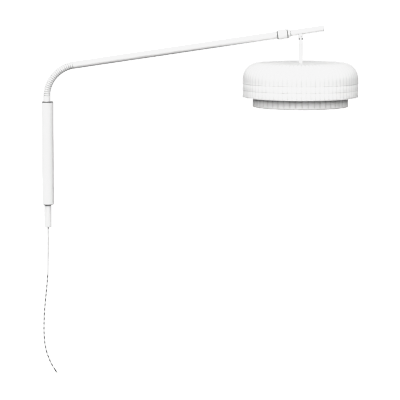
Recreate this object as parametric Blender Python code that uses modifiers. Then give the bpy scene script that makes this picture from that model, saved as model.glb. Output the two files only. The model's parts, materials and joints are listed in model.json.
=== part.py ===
"""Swing arm wall sconce.

A bent arm turns in a tall sleeve on the wall. An inner tube slides in the arm and is held by a locking nut.
A two-tier shade hangs from the inner tube on a pivot pin, and the supply cord leaves the arm's lower end.

Metres, +Z up. The origin is the middle of the sleeve's flat back, on the wall. +X points out of the wall.
"""

import math

import bmesh
import bpy
from mathutils import Matrix, Vector

# Clearance between neighbouring pieces, and the distance within which loose vertices are joined
GAP = 0.0003
MERGE_DISTANCE = 0.00001

# Facets of round pieces
TUBE_STEPS = 24
SMALL_STEPS = 16
LEAD_BEVEL_RESOLUTION = 2
SHADE_STEPS = 48
BEND_STEPS = 12

# Wall sleeve
WALL_OFFSET = 0.019
SLEEVE_LENGTH = 0.389
SLEEVE_RADIUS = 0.0246
SLEEVE_BORE = 0.016
BUSH_DEPTH = 0.025
UPPER_FLANGE_RADIUS = 0.0242
UPPER_FLANGE_THICKNESS = 0.0030
LOWER_FLANGE_RADIUS = 0.0242
LOWER_FLANGE_THICKNESS = 0.0012
LOWER_COLLAR_RADIUS = 0.0153
LOWER_COLLAR_LENGTH = 0.0046
SCREW_SPACING = 0.280
SCREW_HOLE_RADIUS = 0.00225
SCREW_HEAD_RADIUS = 0.0046
ACCESS_RADIUS = 0.0049
ACCESS_PLUG_DEPTH = 0.006

# Arm
ARM_RADIUS = 0.01345
ARM_WALL = 0.0015
ARM_STUB = 0.0888
ARM_CORNER_HEIGHT = 0.320
ARM_SLOPE = math.radians(8.36)
BEND_RADIUS = 0.120
ARM_END = 0.905
STUB_FLANGE_THICKNESS = 0.0015
STUB_PLUG_LENGTH = 0.015
CORD_HOLE_RADIUS = 0.0039
GLAND_LENGTH = 0.021
GLAND_TIP_RADIUS = 0.0034

# Collar and locking nut, measured along the arm from its virtual corner
COLLAR_START = 0.885
COLLAR_END = 0.9196
COLLAR_RADIUS = 0.01775
COLLAR_BEVEL = 0.0006
SPIGOT_RADIUS = 0.0143
SPIGOT_BORE = 0.0131
SPIGOT_END = 0.9283
NUT_END = 0.9333
NUT_RADIUS = 0.0163
NUT_NOSE_RADIUS = 0.0130
REAR_RING_RADIUS = 0.0168
FRONT_RING_RADIUS = 0.0170
RING_WIDTH = 0.0028
COLLET_SLIT_WIDTH = 0.0012
COLLET_SLIT_LENGTH = 0.016

# Inner tube
INNER_RADIUS = 0.011
INNER_WALL = 0.0015
INNER_START = 0.472
INNER_END = 1.0605
INNER_PLUG_LENGTH = 0.013
END_CAP_THICKNESS = 0.0017
GUIDE_HALF_LENGTH = 0.014

# Hanger, pivot pin and stem
HANGER_REACH = 0.9617
HANGER_RADIUS = 0.009
HANGER_TOP = 0.0165
FORK_SLOT_TOP = 0.0075
FORK_SLOT_HEIGHT = 0.022
PIN_DROP = 0.0217
PIN_RADIUS = 0.0025
TONGUE_THICKNESS = 0.006
STEM_RADIUS = 0.0075
STEM_BORE = 0.0053
SHADE_DROP = 0.0946

# Shade and what it holds
SHADE_RADIUS = 0.220
SHADE_HEIGHT = 0.130
SHADE_SHOULDER = 0.060
SHADE_WALL = 0.0015
DRUM_RADIUS = 0.1815
DRUM_HEIGHT = 0.120
DRUM_DROP = 0.037
DRUM_WALL = 0.0015
DRUM_LIP = 0.005
DIFFUSER_THICKNESS = 0.003
WASHER_THICKNESS = 0.0015
LOCK_NUT_HEIGHT = 0.006
HUB_THICKNESS = 0.003
HOLDER_LENGTH = 0.058
SOCKET_DEPTH = 0.0293

# Cord and leads
CORD_RADIUS = 0.003
LEAD_RADIUS = 0.0025
CORE_RADIUS = 0.0009
ARM_LEAD_END = 0.425
CORD_ROUTE = [
    (0.0190, 0.000, -0.2896),
    (0.0190, 0.000, -0.3026),
    (0.0190, 0.000, -0.3336),
    (0.0187, 0.000, -0.3640),
    (0.0181, -0.001, -0.3953),
    (0.0171, -0.003, -0.4340),
    (0.0154, -0.006, -0.4723),
    (0.0126, -0.011, -0.5110),
    (0.0090, -0.019, -0.5478),
    (0.0058, -0.029, -0.5860),
    (0.0039, -0.041, -0.6214),
    (0.0034, -0.052, -0.6560),
    (0.0042, -0.061, -0.6876),
    (0.0070, -0.068, -0.7173),
    (0.0118, -0.073, -0.7434),
    (0.0178, -0.077, -0.7640),
    (0.0262, -0.080, -0.7850),
    (0.0361, -0.083, -0.8045),
    (0.0470, -0.085, -0.8215),
]
ROUTE_SAMPLES = 3

# Derived places
HALF_SLEEVE = SLEEVE_LENGTH / 2
ARM_PITCH = math.pi / 2 - ARM_SLOPE
BEND_TANGENT = BEND_RADIUS * math.tan(ARM_PITCH / 2)
ARM_BORE = ARM_RADIUS - ARM_WALL
STUB_BOTTOM = -HALF_SLEEVE - ARM_STUB
HANGER_ALONG = HANGER_REACH / math.cos(ARM_SLOPE)
PIN_HEIGHT = ARM_CORNER_HEIGHT + HANGER_REACH * math.tan(ARM_SLOPE) - PIN_DROP
SHADE_TOP = -SHADE_DROP
SHADE_BOTTOM = SHADE_TOP - SHADE_HEIGHT
DRUM_BOTTOM = SHADE_BOTTOM - DRUM_DROP
DRUM_TOP = DRUM_BOTTOM + DRUM_HEIGHT
WASHER_TOP = SHADE_TOP - SHADE_WALL - GAP
LOCK_NUT_TOP = WASHER_TOP - WASHER_THICKNESS - GAP
HUB_TOP = LOCK_NUT_TOP - LOCK_NUT_HEIGHT - GAP
HOLDER_TOP = HUB_TOP - HUB_THICKNESS - GAP
HOLDER_BOTTOM = HOLDER_TOP - HOLDER_LENGTH
BULB_TOP = HOLDER_BOTTOM + SOCKET_DEPTH - 0.0008

# Turns an outline drawn in local XY upright across the arm, so that it is extruded along X
ACROSS_ARM = (math.pi / 2, 0, math.pi / 2)


def clear_scene():
    for obj in list(bpy.data.objects):
        bpy.data.objects.remove(obj, do_unlink=True)


def new_collection(name):
    collection = bpy.data.collections.new(name)
    bpy.context.scene.collection.children.link(collection)
    return collection


clear_scene()
LAMP = new_collection("swing_arm_wall_sconce")
CUTTERS = new_collection("cutters")


def new_material(name, colour, roughness, metallic=0.0):
    material = bpy.data.materials.new(name)
    material.diffuse_color = (*colour, 1.0)
    material.use_nodes = True
    shader = material.node_tree.nodes["Principled BSDF"]
    shader.inputs["Base Color"].default_value = (*colour, 1.0)
    shader.inputs["Roughness"].default_value = roughness
    shader.inputs["Metallic"].default_value = metallic
    return material


WHITE_PAINT = new_material("white_paint", (0.88, 0.88, 0.87), 0.45)
SHADE_PAINT = new_material("shade_paint", (0.90, 0.90, 0.89), 0.55)
BLACK_PLASTIC = new_material("black_plastic", (0.02, 0.02, 0.02), 0.5)
WHITE_PLASTIC = new_material("white_plastic", (0.85, 0.85, 0.84), 0.4)
GREY_PLASTIC = new_material("grey_plastic", (0.42, 0.42, 0.42), 0.45)
BLACK_RUBBER = new_material("black_rubber", (0.03, 0.03, 0.03), 0.7)
BARE_STEEL = new_material("bare_steel", (0.56, 0.57, 0.58), 0.3, 1.0)
OPAL = new_material("opal", (0.93, 0.93, 0.91), 0.35)
CORD_BRAID = new_material("cord_braid", (0.72, 0.72, 0.71), 0.85)
LIVE_BROWN = new_material("live_brown", (0.20, 0.08, 0.03), 0.45)
NEUTRAL_BLUE = new_material("neutral_blue", (0.05, 0.15, 0.45), 0.45)
EARTH_GREEN = new_material("earth_green", (0.35, 0.50, 0.08), 0.45)


def joint_frame(name, place, parent=None, pitch=0.0):
    """Add an empty at a place in the world, its local Z pitched from upright towards +X."""
    frame = bpy.data.objects.new(name, None)
    frame.matrix_world = Matrix.Translation(place) @ Matrix.Rotation(pitch, 4, "Y")
    if parent:
        frame.parent = parent
        frame.matrix_parent_inverse = parent.matrix_world.inverted()
    LAMP.objects.link(frame)
    return frame


def add_piece(name, data, material, frame, place=(0, 0, 0), turn=(0, 0, 0)):
    """Add an object to the lamp, placed in its joint frame's own axes."""
    piece = bpy.data.objects.new(name, data)
    piece.parent = frame
    piece.location = place
    piece.rotation_euler = turn
    if material:
        data.materials.append(material)
    LAMP.objects.link(piece)
    return piece


def make_tool(piece):
    """Turn a piece into a hidden shape that only Boolean modifiers use."""
    LAMP.objects.unlink(piece)
    CUTTERS.objects.link(piece)
    piece.hide_render = True
    piece.display_type = "WIRE"
    return piece


def boolean(piece, tool, operation):
    modifier = piece.modifiers.new(tool.name, "BOOLEAN")
    modifier.operation = operation
    modifier.solver = "EXACT"
    modifier.object = tool


def turned(name, profile, material, frame, steps=TUBE_STEPS, hollow=True, place=(0, 0, 0), turn=(0, 0, 0)):
    """Turn (radius, height) points about local Z: down the outer side and, on a hollow piece, up the bore."""
    mesh = bpy.data.meshes.new(name)
    vertices = [(radius, 0.0, height) for radius, height in profile]
    edges = [(index, index + 1) for index in range(len(profile) - 1)]
    if hollow:
        edges.append((len(profile) - 1, 0))
    mesh.from_pydata(vertices, edges, [])
    piece = add_piece(name, mesh, material, frame, place, turn)
    screw = piece.modifiers.new("Turn", "SCREW")
    screw.axis = "Z"
    screw.angle = 2 * math.pi
    screw.steps = steps
    screw.render_steps = steps
    screw.use_merge_vertices = True
    screw.merge_threshold = MERGE_DISTANCE
    screw.use_smooth_shade = True
    return piece


def turned_shell(name, profile, thickness, material, frame, steps):
    """Turn an open profile and thicken it inwards."""
    piece = turned(name, profile, material, frame, steps=steps, hollow=False)
    solidify = piece.modifiers.new("Wall", "SOLIDIFY")
    solidify.thickness = thickness
    solidify.offset = -1.0
    solidify.use_even_offset = True
    return piece


def ring(name, inner, outer, bottom, top, material, frame, steps=TUBE_STEPS):
    """A flat ring with a small bevel on its two outer edges."""
    bevel = min(top - bottom, outer - inner) / 4
    profile = [
        (outer - bevel, top),
        (outer, top - bevel),
        (outer, bottom + bevel),
        (outer - bevel, bottom),
        (inner, bottom),
        (inner, top),
    ]
    return turned(name, profile, material, frame, steps=steps)


def rod(name, radius, length, material, frame, place=(0, 0, 0), turn=(0, 0, 0), steps=SMALL_STEPS):
    """A plain cylinder centred on its place, along local Z."""
    mesh = bpy.data.meshes.new(name)
    shape = bmesh.new()
    bmesh.ops.create_cone(
        shape, cap_ends=True, segments=steps, radius1=radius, radius2=radius, depth=length)
    shape.to_mesh(mesh)
    shape.free()
    mesh.shade_smooth()
    mesh.set_sharp_from_angle(angle=math.radians(40))
    return add_piece(name, mesh, material, frame, place, turn)


def box_tool(name, size, frame, place=(0, 0, 0), turn=(0, 0, 0)):
    mesh = bpy.data.meshes.new(name)
    shape = bmesh.new()
    bmesh.ops.create_cube(shape, size=1.0, matrix=Matrix.Diagonal((*size, 1.0)))
    shape.to_mesh(mesh)
    shape.free()
    return make_tool(add_piece(name, mesh, None, frame, place, turn))


def rod_tool(name, radius, length, frame, place=(0, 0, 0), turn=(0, 0, 0), steps=SMALL_STEPS):
    return make_tool(rod(name, radius, length, None, frame, place, turn, steps))


def as_mesh(curve_piece):
    """Replace a curve object by its evaluated mesh, with the loose caps joined on."""
    depsgraph = bpy.context.evaluated_depsgraph_get()
    mesh = bpy.data.meshes.new_from_object(curve_piece.evaluated_get(depsgraph))
    shape = bmesh.new()
    shape.from_mesh(mesh)
    bmesh.ops.remove_doubles(shape, verts=shape.verts, dist=MERGE_DISTANCE)
    shape.to_mesh(mesh)
    shape.free()
    name = curve_piece.name
    frame = curve_piece.parent
    place = curve_piece.location.copy()
    turn = curve_piece.rotation_euler.copy()
    bpy.data.objects.remove(curve_piece, do_unlink=True)
    return add_piece(name, mesh, None, frame, place, turn)


def extruded(name, outlines, depth, material, frame, place=(0, 0, 0), turn=(0, 0, 0)):
    """Fill flat outlines in local XY, where an inner outline is a hole, and extrude them along local Z."""
    curve = bpy.data.curves.new(name, "CURVE")
    curve.dimensions = "2D"
    curve.fill_mode = "BOTH"
    curve.extrude = depth / 2
    for outline in outlines:
        spline = curve.splines.new("POLY")
        spline.points.add(len(outline) - 1)
        for point, (x, y) in zip(spline.points, outline):
            point.co = (x, y, 0.0, 1.0)
        spline.use_cyclic_u = True
    return as_mesh(add_piece(name, curve, material, frame, place, turn))


def tube_along(name, points, radius, material, frame, resolution, capped=True, place=(0, 0, 0)):
    """A round bar along straight stretches between its points."""
    curve = bpy.data.curves.new(name, "CURVE")
    curve.dimensions = "3D"
    curve.bevel_depth = radius
    curve.bevel_resolution = resolution
    curve.use_fill_caps = capped
    spline = curve.splines.new("POLY")
    spline.points.add(len(points) - 1)
    for point, place_on_line in zip(spline.points, points):
        point.co = (*place_on_line, 1.0)
    return add_piece(name, curve, material, frame, place)


def arc(radius, start, end, steps, centre=(0.0, 0.0)):
    """Points on an arc, from one angle to another in degrees."""
    angles = [math.radians(start + (end - start) * step / steps) for step in range(steps + 1)]
    return [(centre[0] + radius * math.cos(angle), centre[1] + radius * math.sin(angle)) for angle in angles]


def arm_path(bottom, end_along):
    """The arm's centre line, from a height on the swing axis to a distance along the sloping arm."""
    bend_start = ARM_CORNER_HEIGHT - BEND_TANGENT
    path = [(0.0, 0.0, bottom)]
    for step in range(BEND_STEPS + 1):
        angle = ARM_PITCH * step / BEND_STEPS
        x = BEND_RADIUS * (1 - math.cos(angle))
        path.append((x, 0.0, bend_start + BEND_RADIUS * math.sin(angle)))
    x = end_along * math.cos(ARM_SLOPE)
    path.append((x, 0.0, ARM_CORNER_HEIGHT + end_along * math.sin(ARM_SLOPE)))
    return path


def smooth_route(points, samples):
    """Points on a Catmull-Rom curve through the route's own points."""
    route = [Vector(point) for point in points]
    route = [2 * route[0] - route[1]] + route + [2 * route[-1] - route[-2]]
    smooth = []
    for before, start, end, after in zip(route, route[1:], route[2:], route[3:]):
        for sample in range(samples):
            t = sample / samples
            bend = 2 * before - 5 * start + 4 * end - after
            twist = -before + 3 * start - 3 * end + after
            smooth.append(start + 0.5 * t * ((end - before) + bend * t + twist * t * t))
    smooth.append(route[-2])
    return smooth


# ---------------------------------------------------------------- wall fixing

def sleeve_outline():
    """A circle about the swing axis, cut flat where it meets the wall."""
    corner = 180 - math.degrees(math.acos(WALL_OFFSET / SLEEVE_RADIUS))
    return arc(SLEEVE_RADIUS, -corner, corner, TUBE_STEPS)


def screw_hole_tool(frame, height):
    """A countersunk hole through the sleeve's back, from the wall inwards."""
    sink_start = 0.0008
    sink_end = sink_start + SCREW_HEAD_RADIUS - SCREW_HOLE_RADIUS
    overrun = 0.002
    depth = 0.012
    profile = [
        (0.0, depth),
        (SCREW_HEAD_RADIUS, depth),
        (SCREW_HEAD_RADIUS, sink_end),
        (SCREW_HOLE_RADIUS, sink_start),
        (SCREW_HOLE_RADIUS, -overrun),
        (0.0, -overrun),
    ]
    place = (-WALL_OFFSET, 0, height)
    tool = turned("screw_hole_tool", profile, None, frame, SMALL_STEPS, False, place, (0, math.pi / 2, 0))
    return make_tool(tool)


def build_wall_sleeve(frame):
    bore = arc(SLEEVE_BORE, 0, 345, TUBE_STEPS - 1)
    sleeve = extruded("wall_sleeve", [sleeve_outline(), bore], SLEEVE_LENGTH, WHITE_PAINT, frame)
    access_length = 2 * SLEEVE_BORE
    turn = (0, math.pi / 2, 0)
    for height in (-SCREW_SPACING / 2, SCREW_SPACING / 2):
        boolean(sleeve, screw_hole_tool(frame, height), "DIFFERENCE")
        place = (SLEEVE_RADIUS, 0, height)
        access = rod_tool("access_hole_tool", ACCESS_RADIUS, access_length, frame, place, turn)
        boolean(sleeve, access, "DIFFERENCE")


def build_access_plug(name, frame, height):
    """A push-in plug, its face level with the sleeve's front."""
    radius = ACCESS_RADIUS - GAP
    bevel = 0.0006
    face = SLEEVE_RADIUS
    bottom = face - ACCESS_PLUG_DEPTH
    profile = [(0.0, face), (radius - bevel, face), (radius, face - bevel), (radius, bottom), (0.0, bottom)]
    turned(name, profile, WHITE_PLASTIC, frame, SMALL_STEPS, False, (0, 0, height), (0, math.pi / 2, 0))


def build_bushes(frame):
    """Flanged bushes in the sleeve's ends, cut level with the wall behind."""
    running = ARM_RADIUS + GAP
    spigot = SLEEVE_BORE - GAP
    rim = HALF_SLEEVE + GAP
    shoulder = rim - BUSH_DEPTH
    bevel = 0.0004
    upper_top = rim + UPPER_FLANGE_THICKNESS
    upper_profile = [
        (UPPER_FLANGE_RADIUS - bevel, upper_top),
        (UPPER_FLANGE_RADIUS, upper_top - bevel),
        (UPPER_FLANGE_RADIUS, rim),
        (spigot, rim),
        (spigot, shoulder),
        (running, shoulder),
        (running, upper_top),
    ]
    flange_bottom = -rim - LOWER_FLANGE_THICKNESS
    collar_bottom = -rim - LOWER_COLLAR_LENGTH
    lower_profile = [
        (spigot, -shoulder),
        (spigot, -rim),
        (LOWER_FLANGE_RADIUS, -rim),
        (LOWER_FLANGE_RADIUS, flange_bottom + bevel),
        (LOWER_FLANGE_RADIUS - bevel, flange_bottom),
        (LOWER_COLLAR_RADIUS, flange_bottom),
        (LOWER_COLLAR_RADIUS, collar_bottom + bevel),
        (LOWER_COLLAR_RADIUS - bevel, collar_bottom),
        (running, collar_bottom),
        (running, -shoulder),
    ]
    wall_depth = 0.02
    wall_place = (GAP - WALL_OFFSET - wall_depth / 2, 0, 0)
    wall = box_tool("wall_tool", (wall_depth, 0.1, 2 * SLEEVE_LENGTH), frame, wall_place)
    for name, profile in (("upper_bush", upper_profile), ("lower_bush", lower_profile)):
        bush = turned(name, profile, BLACK_PLASTIC, frame)
        boolean(bush, wall, "DIFFERENCE")


# ---------------------------------------------------------------- arm

def build_arm_tube(frame):
    """The bent tube, its wall thickened inwards from its outer surface."""
    path = arm_path(STUB_BOTTOM + STUB_FLANGE_THICKNESS + GAP, ARM_END)
    sides_resolution = (TUBE_STEPS - 4) // 2
    surface = tube_along("arm_tube", path, ARM_RADIUS, WHITE_PAINT, frame, sides_resolution, capped=False)
    arm = as_mesh(surface)
    arm.data.shade_smooth()
    solidify = arm.modifiers.new("Wall", "SOLIDIFY")
    solidify.thickness = ARM_WALL
    solidify.offset = -1.0


def build_retaining_ring(frame):
    """The ring in the arm's groove that rests on the lower bush and carries the arm."""
    thickness = 0.0018
    bottom = BUSH_DEPTH - HALF_SLEEVE
    outer = SLEEVE_BORE - 2 * GAP
    ring("retaining_ring", ARM_RADIUS + GAP, outer, bottom, bottom + thickness, BARE_STEEL, frame)


def build_arm_end(frame):
    """The plug that closes the stub, and the gland that the cord hangs from."""
    plug_radius = ARM_BORE - GAP
    plug_top = STUB_BOTTOM + STUB_PLUG_LENGTH
    flange_radius = ARM_RADIUS - 0.0002
    flange_top = STUB_BOTTOM + STUB_FLANGE_THICKNESS
    bevel = 0.0006
    plug = [
        (plug_radius, plug_top),
        (plug_radius, flange_top),
        (flange_radius, flange_top),
        (flange_radius, STUB_BOTTOM + bevel),
        (flange_radius - bevel, STUB_BOTTOM),
        (CORD_HOLE_RADIUS, STUB_BOTTOM),
        (CORD_HOLE_RADIUS, plug_top),
    ]
    turned("stub_plug", plug, WHITE_PLASTIC, frame)
    gland_top = STUB_BOTTOM + GLAND_LENGTH
    gland_radius = CORD_HOLE_RADIUS - GAP
    gland_bottom = CORD_ROUTE[0][2] + GAP
    gland = [
        (0.0, gland_top),
        (gland_radius - bevel, gland_top),
        (gland_radius, gland_top - 2 * bevel),
        (gland_radius, STUB_BOTTOM),
        (GLAND_TIP_RADIUS, gland_bottom),
        (0.0, gland_bottom),
    ]
    turned("cord_gland", gland, BLACK_RUBBER, frame, SMALL_STEPS, hollow=False)
    lead = arm_path(gland_top + GAP, ARM_LEAD_END)
    tube_along("arm_lead", lead, LEAD_RADIUS, WHITE_PLASTIC, frame, LEAD_BEVEL_RESOLUTION)


def build_collar(frame):
    """The collar fixed on the arm's end, with a dark ring at each end and the collet in its mouth."""
    rear_bore = ARM_RADIUS + GAP
    step = ARM_END + GAP
    collar = [
        (SPIGOT_RADIUS, SPIGOT_END),
        (SPIGOT_RADIUS, COLLAR_END),
        (COLLAR_RADIUS - COLLAR_BEVEL, COLLAR_END),
        (COLLAR_RADIUS, COLLAR_END - COLLAR_BEVEL),
        (COLLAR_RADIUS, COLLAR_START + COLLAR_BEVEL),
        (COLLAR_RADIUS - COLLAR_BEVEL, COLLAR_START),
        (rear_bore, COLLAR_START),
        (rear_bore, step),
        (SPIGOT_BORE, step),
        (SPIGOT_BORE, SPIGOT_END),
    ]
    turned("clamp_collar", collar, WHITE_PAINT, frame)
    rear = COLLAR_START - GAP
    ring("collar_rear_ring", rear_bore, REAR_RING_RADIUS, rear - RING_WIDTH, rear, BLACK_RUBBER, frame)
    front = COLLAR_END + GAP
    front_bore = SPIGOT_RADIUS + GAP
    ring("collar_front_ring", front_bore, FRONT_RING_RADIUS, front, front + RING_WIDTH, BLACK_RUBBER, frame)
    build_collet(frame, step + GAP)


def build_collet(frame, start):
    """The split sleeve in the collar's mouth that grips the inner tube."""
    radius = SPIGOT_BORE - GAP
    grip = INNER_RADIUS + GAP
    taper_depth = 0.0008
    taper_length = 0.004
    collet = [
        (radius - taper_depth, SPIGOT_END),
        (radius, SPIGOT_END - taper_length),
        (radius, start),
        (grip, start),
        (grip, SPIGOT_END),
    ]
    piece = turned("split_collet", collet, WHITE_PLASTIC, frame)
    overrun = 0.001
    slit = (COLLET_SLIT_WIDTH, 4 * SPIGOT_BORE, COLLET_SLIT_LENGTH)
    slit_place = (0, 0, SPIGOT_END - COLLET_SLIT_LENGTH / 2 + overrun)
    for angle in (math.pi / 4, 3 * math.pi / 4):
        tool = box_tool("collet_slit_tool", slit, frame, slit_place, (0, 0, angle))
        boolean(piece, tool, "DIFFERENCE")


def build_locking_nut(frame):
    """The chamfered nose that turns on the collar's thread and closes the collet."""
    rear = COLLAR_END + 2 * GAP + RING_WIDTH
    thread_bore = SPIGOT_RADIUS + GAP
    thread_end = SPIGOT_END + 2 * GAP
    grip = INNER_RADIUS + GAP
    rim_end = rear + 0.0040
    nose_bevel = 0.0004
    nut = [
        (NUT_NOSE_RADIUS - nose_bevel, NUT_END),
        (NUT_NOSE_RADIUS, NUT_END - nose_bevel),
        (NUT_RADIUS - COLLAR_BEVEL / 2, rim_end),
        (NUT_RADIUS, rim_end - COLLAR_BEVEL),
        (NUT_RADIUS, rear + COLLAR_BEVEL),
        (NUT_RADIUS - COLLAR_BEVEL, rear),
        (thread_bore, rear),
        (thread_bore, thread_end),
        (grip, thread_end),
        (grip, NUT_END),
    ]
    turned("locking_nut", nut, WHITE_PAINT, frame)


# ---------------------------------------------------------------- inner tube and hanger

def build_inner_tube(frame, hanger):
    tube_end = INNER_END - END_CAP_THICKNESS - GAP
    bore = INNER_RADIUS - INNER_WALL
    walls = [(INNER_RADIUS, tube_end), (INNER_RADIUS, INNER_START), (bore, INNER_START), (bore, tube_end)]
    tube = turned("inner_tube", walls, WHITE_PAINT, frame)
    lead_hole = rod_tool("lead_hole_tool", 0.003, 0.014, hanger, (0, 0, PIN_DROP - INNER_RADIUS))
    boolean(tube, lead_hole, "DIFFERENCE")
    plug = bore - GAP
    guide = ARM_BORE - GAP
    lead_bore = LEAD_RADIUS + 0.001
    guide_front = INNER_START + GUIDE_HALF_LENGTH
    guide_rear = INNER_START - GUIDE_HALF_LENGTH
    guide_profile = [
        (plug, guide_front),
        (plug, INNER_START - GAP),
        (guide, INNER_START - GAP),
        (guide, guide_rear),
        (lead_bore, guide_rear),
        (lead_bore, guide_front),
    ]
    turned("guide_plug", guide_profile, WHITE_PLASTIC, frame)
    bevel = 0.0006
    cap_rear = INNER_END - END_CAP_THICKNESS
    plug_rear = INNER_END - INNER_PLUG_LENGTH
    cap = [
        (0.0, INNER_END),
        (INNER_RADIUS - bevel, INNER_END),
        (INNER_RADIUS, INNER_END - bevel),
        (INNER_RADIUS, cap_rear),
        (plug, cap_rear),
        (plug, plug_rear),
        (0.0, plug_rear),
    ]
    turned("end_cap", cap, GREY_PLASTIC, frame, hollow=False)
    lead_start = INNER_START - 0.013
    lead_end = HANGER_ALONG - 0.004
    lead_place = (0, 0, (lead_start + lead_end) / 2)
    rod("inner_lead", LEAD_RADIUS, lead_end - lead_start, WHITE_PLASTIC, frame, lead_place, steps=8)


def build_hanger(frame, slide):
    """A fork brazed under the inner tube, its nose rounded about the pivot pin, and the pin along X."""
    overrun = 0.001
    blank_bottom = -HANGER_RADIUS - overrun
    profile = [(0.0, HANGER_TOP), (HANGER_RADIUS, HANGER_TOP)]
    profile += [(HANGER_RADIUS, blank_bottom), (0.0, blank_bottom)]
    hanger = turned("hanger_fork", profile, WHITE_PAINT, frame, hollow=False)
    outline = arc(HANGER_RADIUS, 180, 360, 12)
    outline += [(HANGER_RADIUS, HANGER_TOP + overrun), (-HANGER_RADIUS, HANGER_TOP + overrun)]
    nose = extruded("fork_nose_tool", [outline], 4 * HANGER_RADIUS, None, frame, turn=ACROSS_ARM)
    boolean(hanger, make_tool(nose), "INTERSECT")
    saddle_place = (0, 0, HANGER_ALONG)
    saddle = rod_tool("saddle_tool", INNER_RADIUS + GAP, 0.06, slide, saddle_place, steps=TUBE_STEPS)
    boolean(hanger, saddle, "DIFFERENCE")
    slot_size = (TONGUE_THICKNESS + 2 * GAP, 4 * HANGER_RADIUS, FORK_SLOT_HEIGHT)
    slot_place = (0, 0, FORK_SLOT_TOP - FORK_SLOT_HEIGHT / 2)
    slot = box_tool("fork_slot_tool", slot_size, frame, slot_place)
    boolean(hanger, slot, "DIFFERENCE")
    boolean(hanger, pin_hole_tool("fork_pin_hole_tool", frame), "DIFFERENCE")
    pin_length = 2 * HANGER_RADIUS - 0.0006
    rod("pivot_pin", PIN_RADIUS, pin_length, BARE_STEEL, frame, turn=(0, math.pi / 2, 0))


def pin_hole_tool(name, frame):
    return rod_tool(name, PIN_RADIUS + GAP, 0.03, frame, turn=(0, math.pi / 2, 0))


# ---------------------------------------------------------------- pendant

def build_stem(frame):
    """The eye that hangs on the pin, the stem tube below it and the nipple that carries the shade."""
    shoulder = -0.0126
    shoulder_bottom = -0.0226
    bevel = 0.0006
    spigot = STEM_BORE - GAP
    body = [
        (0.0, shoulder),
        (STEM_RADIUS - bevel, shoulder),
        (STEM_RADIUS, shoulder - bevel),
        (STEM_RADIUS, shoulder_bottom),
        (spigot, shoulder_bottom),
        (spigot, shoulder_bottom - 0.010),
        (0.0, shoulder_bottom - 0.010),
    ]
    eye = turned("stem_eye", body, WHITE_PAINT, frame, hollow=False)
    tongue_radius = 0.0065
    outline = arc(tongue_radius, 0, 180, 8)
    outline += [(-tongue_radius, shoulder - 0.001), (tongue_radius, shoulder - 0.001)]
    tongue = extruded("tongue_tool", [outline], TONGUE_THICKNESS, None, frame, turn=ACROSS_ARM)
    boolean(eye, make_tool(tongue), "UNION")
    boolean(eye, pin_hole_tool("eye_pin_hole_tool", frame), "DIFFERENCE")
    ring("stem_tube", STEM_BORE, STEM_RADIUS, SHADE_TOP + GAP, shoulder_bottom - GAP, WHITE_PAINT, frame)
    nipple_top = SHADE_TOP + 0.025
    nipple_bottom = HOLDER_TOP - 0.010
    ring("threaded_nipple", 0.0033, spigot, nipple_bottom, nipple_top, BARE_STEEL, frame, SMALL_STEPS)
    lead_top = shoulder_bottom - 0.0105
    lead_bottom = BULB_TOP + GAP
    place = (0, 0, (lead_top + lead_bottom) / 2)
    rod("stem_lead", LEAD_RADIUS, lead_top - lead_bottom, WHITE_PLASTIC, frame, place, steps=8)


def build_outer_shade(frame):
    shoulder_centre = (SHADE_RADIUS - SHADE_SHOULDER, SHADE_TOP - SHADE_SHOULDER)
    profile = [(STEM_BORE, SHADE_TOP)]
    profile += arc(SHADE_SHOULDER, 90, 0, 7, shoulder_centre)
    profile.append((SHADE_RADIUS, SHADE_BOTTOM))
    turned_shell("outer_shade", profile, SHADE_WALL, SHADE_PAINT, frame, SHADE_STEPS)


def build_shade_fixings(frame):
    """The washer and the lock nut under the shade's top."""
    washer_bottom = WASHER_TOP - WASHER_THICKNESS
    ring("shade_washer", STEM_BORE, 0.0125, washer_bottom, WASHER_TOP, BARE_STEEL, frame, SMALL_STEPS)
    nut_corner = 0.0098
    hexagon = arc(nut_corner, 0, 300, 5)
    bore = arc(STEM_BORE, 0, 337.5, SMALL_STEPS - 1)
    place = (0, 0, LOCK_NUT_TOP - LOCK_NUT_HEIGHT / 2)
    extruded("shade_lock_nut", [hexagon, bore], LOCK_NUT_HEIGHT, BARE_STEEL, frame, place)


def build_spider_and_drum(frame):
    """The three-armed spider, the drum that hangs on it, and the screws through both."""
    hub_bottom = HUB_TOP - HUB_THICKNESS
    spider = ring("drum_spider", STEM_BORE, 0.020, hub_bottom, HUB_TOP, WHITE_PAINT, frame)
    arm_top = HUB_TOP - 0.0002
    arm_bottom = hub_bottom + 0.0003
    foot_outside = DRUM_RADIUS - DRUM_WALL - 0.001
    foot_inside = foot_outside - 0.002
    foot_bottom = DRUM_TOP - 0.015
    outline = [
        (0.010, arm_top),
        (foot_outside, arm_top),
        (foot_outside, foot_bottom),
        (foot_inside, foot_bottom),
        (foot_inside, arm_bottom),
        (0.010, arm_bottom),
    ]
    drum_profile = [
        (DRUM_RADIUS, DRUM_TOP),
        (DRUM_RADIUS, DRUM_BOTTOM),
        (DRUM_RADIUS - DRUM_LIP, DRUM_BOTTOM),
    ]
    drum = turned_shell("inner_drum", drum_profile, DRUM_WALL, SHADE_PAINT, frame, SHADE_STEPS)
    screw_height = foot_bottom + 0.007
    for index in range(3):
        angle = index * 2 * math.pi / 3
        arm = extruded("spider_arm_tool", [outline], 0.012, None, frame, turn=(math.pi / 2, 0, angle))
        boolean(spider, make_tool(arm), "UNION")
        out = Vector((math.cos(angle), math.sin(angle), 0.0))
        place = out * DRUM_RADIUS + Vector((0, 0, screw_height))
        hole = rod_tool("drum_screw_hole_tool", 0.0021, 0.016, frame, place, (0, math.pi / 2, angle), 8)
        boolean(drum, hole, "DIFFERENCE")
        boolean(spider, hole, "DIFFERENCE")
        build_drum_screw(f"drum_screw_{index + 1}", frame, place, (0, math.pi / 2, angle))


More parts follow.
